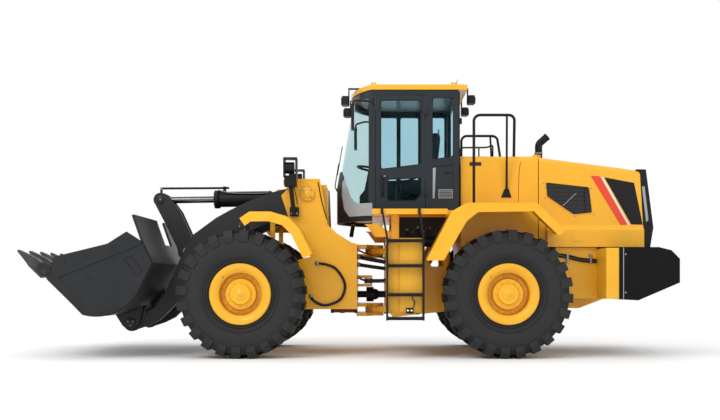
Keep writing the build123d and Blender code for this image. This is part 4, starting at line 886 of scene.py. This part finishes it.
for number in range(teeth_along):
    centre = (number * 2 / (teeth_along - 1) - 1) * teeth_reach
    for shift in (-bolt_pair, bolt_pair):
        tip = at(edge_tip[0], centre + shift, edge_tip[1])
        bucket_trim.bolt(tip + floor_way * bolt_back + floor_up * bolt_rise, floor_up, 15, worn_steel)
bucket_trim.done()


# Seat: padded cushion and backrest on a bellows base
cloth_cell = 0.008
cloth_pressure = 4
cloth_frames = 20


def stuffed(piece, limit, flat_below):
    """Swell a closed form with the cloth solver within a limit, and keep what lies low as it was."""
    form = piece.done(ride=False)
    even = form.modifiers.new("Even", "REMESH")
    even.mode = "VOXEL"
    even.voxel_size = cloth_cell
    graph = bpy.context.evaluated_depsgraph_get()
    form.data = bpy.data.meshes.new_from_object(form.evaluated_get(graph))
    form.modifiers.clear()
    rest = [vert.co.copy() for vert in form.data.vertices]
    cloth_work = form.modifiers.new("Fill", "CLOTH")
    cloth_work.settings.use_pressure = True
    cloth_work.settings.uniform_pressure_force = cloth_pressure
    cloth_work.settings.effector_weights.gravity = 0
    for number in range(1, cloth_frames + 1):
        bpy.context.scene.frame_set(number)
    graph = bpy.context.evaluated_depsgraph_get()
    swollen = bpy.data.meshes.new_from_object(form.evaluated_get(graph))
    form.modifiers.clear()
    bpy.context.scene.frame_set(1)
    for vert, home in zip(swollen.vertices, rest):
        move = vert.co - home
        if move.length > limit:
            vert.co = home + move.normalized() * limit
        if home.z < flat_below:
            vert.co = home
    form.data = swollen
    for face in form.data.polygons:
        face.use_smooth = True
    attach(form, "rear_chassis")
    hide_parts("seat")


seat_z = cab_floor + 310
cushion = Piece("seat_cushion", "rear_chassis", cloth)
cushion.block((-790, -345), (-235, 235), (seat_z + 6, seat_z + 128), cloth, edge=45)
stuffed(cushion, 0.018, (seat_z + 16) / 1000)

back_levels = ((92, -716, -800, 175), (130, -700, -812, 215), (420, -726, -848, 232), (640, -752, -874, 205),
               (760, -770, -884, 150), (800, -788, -880, 110))
back_steps = 24
squareness = 0.5
back_rings = []
for height, front, rear, wide in back_levels:
    ring = []
    for number in range(back_steps):
        angle = 2 * math.pi * number / back_steps
        reach_x = math.copysign(abs(math.cos(angle)) ** squareness, math.cos(angle))
        reach_y = math.copysign(abs(math.sin(angle)) ** squareness, math.sin(angle))
        ring.append(at((front + rear) / 2 + reach_x * (front - rear) / 2, reach_y * wide, seat_z + height))
    back_rings.append(ring)
backrest = Piece("seat_back", "rear_chassis", cloth)
backrest.loft(back_rings, cloth)
stuffed(backrest, 0.016, 0)

fold_height = 44
fold_depth = 8
base_foot = cab_floor + 40
fold_levels = ((0, -fold_depth), (fold_height / 2, fold_depth), (fold_height, -fold_depth))
seat_base = Piece("seat_base", "rear_chassis", plastic, hose_black)
seat_base.block((-720, -440), (-190, 190), (cab_floor, base_foot), plastic, 10)
for number in range(5):
    low = base_foot + number * fold_height
    folds = []
    for rise, grow in fold_levels:
        rear = -700 - grow
        front = -470 + grow
        half = 170 + grow
        z = low + rise
        folds.append([at(rear, -half, z), at(front, -half, z), at(front, half, z), at(rear, half, z)])
    seat_base.loft(folds, hose_black, smooth=False)
seat_base.block((-800, -350), (-225, 225), (cab_floor + 254, seat_z + 8), plastic, 12)
seat_base.done()

# Cab inside: lining, floor mat, side console with levers, screen, pedals and grab rail
cab_back = -1040
console_top = cab_floor + 430
screen_low = cab_floor + 690
screen_high = cab_floor + 850
inside = Piece("cab_inside", "rear_chassis", plastic, black, mesh_black, steel, cab_grey, silver, tread_black)
lining = (cab_top - 28, 720, 170, 380, 24, silver)
mat = (cab_floor, 690, 240, 400, 5, tread_black)
for z, half, nose, nose_half, thick, look in (lining, mat):
    inside.plate([at(cab_back, -half, z), at(0, -half, z), at(nose, -nose_half, z), at(nose, nose_half, z),
                  at(0, half, z), at(cab_back, half, z)], upward * thick / 1000, look)
inside.block((-820, -300), (-470, -330), (cab_floor, console_top), cab_grey, 30)
inside.block((-760, -330), (-450, -340), (cab_floor + 460, cab_floor + 505), plastic, 18)
inside.tube([at(-640, -400, console_top), at(-640, -400, cab_floor + 470)], 26, black)
lever_knob = [(0, 12), (12, 22), (40, 24), (58, 16), (64, 1)]
for y in (-370, -420):
    lever = [at(-345, y, console_top), at(-335, y, cab_floor + 520), at(-320, y, cab_floor + 575)]
    inside.tube(lever, 8, black)
    inside.turned(at(-320, y, cab_floor + 565), upward, lever_knob, plastic, steps=16)
inside.tube([at(-40, -745, cab_floor + 470), at(-45, -690, cab_floor + 520), at(-60, -640, cab_floor + 640),
             at(-60, -620, cab_floor + 700)], 10, black)
inside.plate([at(-90, -700, screen_low), at(-30, -520, screen_low), at(-15, -520, screen_high),
              at(-75, -700, screen_high)], Vector((0.03, -0.01, 0)), plastic, 0.01)
inside.plate([at(-92, -690, screen_low + 14), at(-36, -530, screen_low + 14), at(-22, -530, screen_high - 14),
              at(-78, -690, screen_high - 14)], Vector((-0.003, 0.001, 0)), mesh_black)
pedal_half = 40
pedal_top = cab_floor + 190
for y in (-120, 90, 180):
    inside.plate([at(250, y - pedal_half, cab_floor), at(250, y + pedal_half, cab_floor),
                  at(310, y + pedal_half, pedal_top), at(310, y - pedal_half, pedal_top)],
                 Vector((-0.012, 0, 0.006)), mesh_black, 0.006)
inside.tube([at(-880, 0, seat_z + 760), at(-876, 0, seat_z + 850)], 10, steel)
inside.tube([at(-30, -745, cab_floor + 560), at(-50, -700, cab_floor + 570), at(-250, -692, cab_floor + 600),
             at(-620, -692, cab_floor + 640), at(-655, -745, cab_floor + 645)], 11, black)
inside.done()

# Light: a sky that is bright above and dim at the horizon, seen as plain white, and two soft lamps
scene = bpy.context.scene
scene.view_settings.view_transform = "Standard"
world = bpy.data.worlds.new("studio")
scene.world = world
world.use_nodes = True
sky_low = 0.40
sky_high = 1.42
fresh = world.node_tree.nodes.new
link = world.node_tree.links.new
sky = world.node_tree.nodes["Background"]
put(sky, {"Color": (1, 1, 1, 1)})
sky_place = fresh("ShaderNodeTexCoord")
sky_parts = fresh("ShaderNodeSeparateXYZ")
link(sky_place.outputs["Generated"], sky_parts.inputs["Vector"])
sky_height = fresh("ShaderNodeMapRange")
put(sky_height, {"To Min": sky_low, "To Max": sky_high})
link(sky_parts.outputs["Z"], sky_height.inputs["Value"])
path_kind = fresh("ShaderNodeLightPath")
plain = path_kind.outputs["Is Camera Ray"]
for kind in ("Is Transmission Ray", "Is Glossy Ray"):
    either = fresh("ShaderNodeMath")
    either.operation = "MAXIMUM"
    link(plain, either.inputs[0])
    link(path_kind.outputs[kind], either.inputs[1])
    plain = either.outputs["Value"]
seen = fresh("ShaderNodeMix")
put(seen, {"B": 1.0})
link(plain, seen.inputs["Factor"])
link(sky_height.outputs["Result"], seen.inputs["A"])
link(seen.outputs["Result"], sky.inputs["Strength"])


def lamp(name, place, aim, size, power):
    """Soft rectangular light."""
    data = bpy.data.lights.new(name, "AREA")
    data.shape = "RECTANGLE"
    data.size = size[0]
    data.size_y = size[1]
    data.energy = power
    made = bpy.data.objects.new(name, data)
    scene.collection.objects.link(made)
    made.location = place
    made.rotation_euler = (Vector(aim) - Vector(place)).to_track_quat("-Z", "Y").to_euler()


lamp("key", (6.0, 9.0, 9.0), (0, 0, 1.2), (5, 4), 480)
lamp("fill", (-8.0, 9.0, 5.0), (-0.5, 0, 1.2), (6, 5), 90)

# Floor
floor_mesh = bpy.data.meshes.new("floor")
reach_out = 600
floor_mesh.from_pydata([(-reach_out, -reach_out, 0), (reach_out, -reach_out, 0), (reach_out, reach_out, 0),
                        (-reach_out, reach_out, 0)], [], [(0, 1, 2, 3)])
floor = bpy.data.objects.new("floor", floor_mesh)
scene.collection.objects.link(floor)
pale = surface("pale_floor", (0.93, 0.93, 0.93), (0.96, 0.96, 0.96), 0.9, patch=0.4, bump=0.0)
floor_mesh.materials.append(pale)

# Camera, low and square to the left side
camera_away = 13400
camera_height = 945
camera_data = bpy.data.cameras.new("camera")
camera_data.lens = 49.0
camera_data.sensor_width = 36
camera_data.shift_x = -0.02
camera_data.shift_y = 0.1
camera = bpy.data.objects.new("camera", camera_data)
scene.collection.objects.link(camera)
camera.location = at(0, camera_away, camera_height)
camera.rotation_euler = (math.radians(90), 0, math.radians(180))
scene.camera = camera
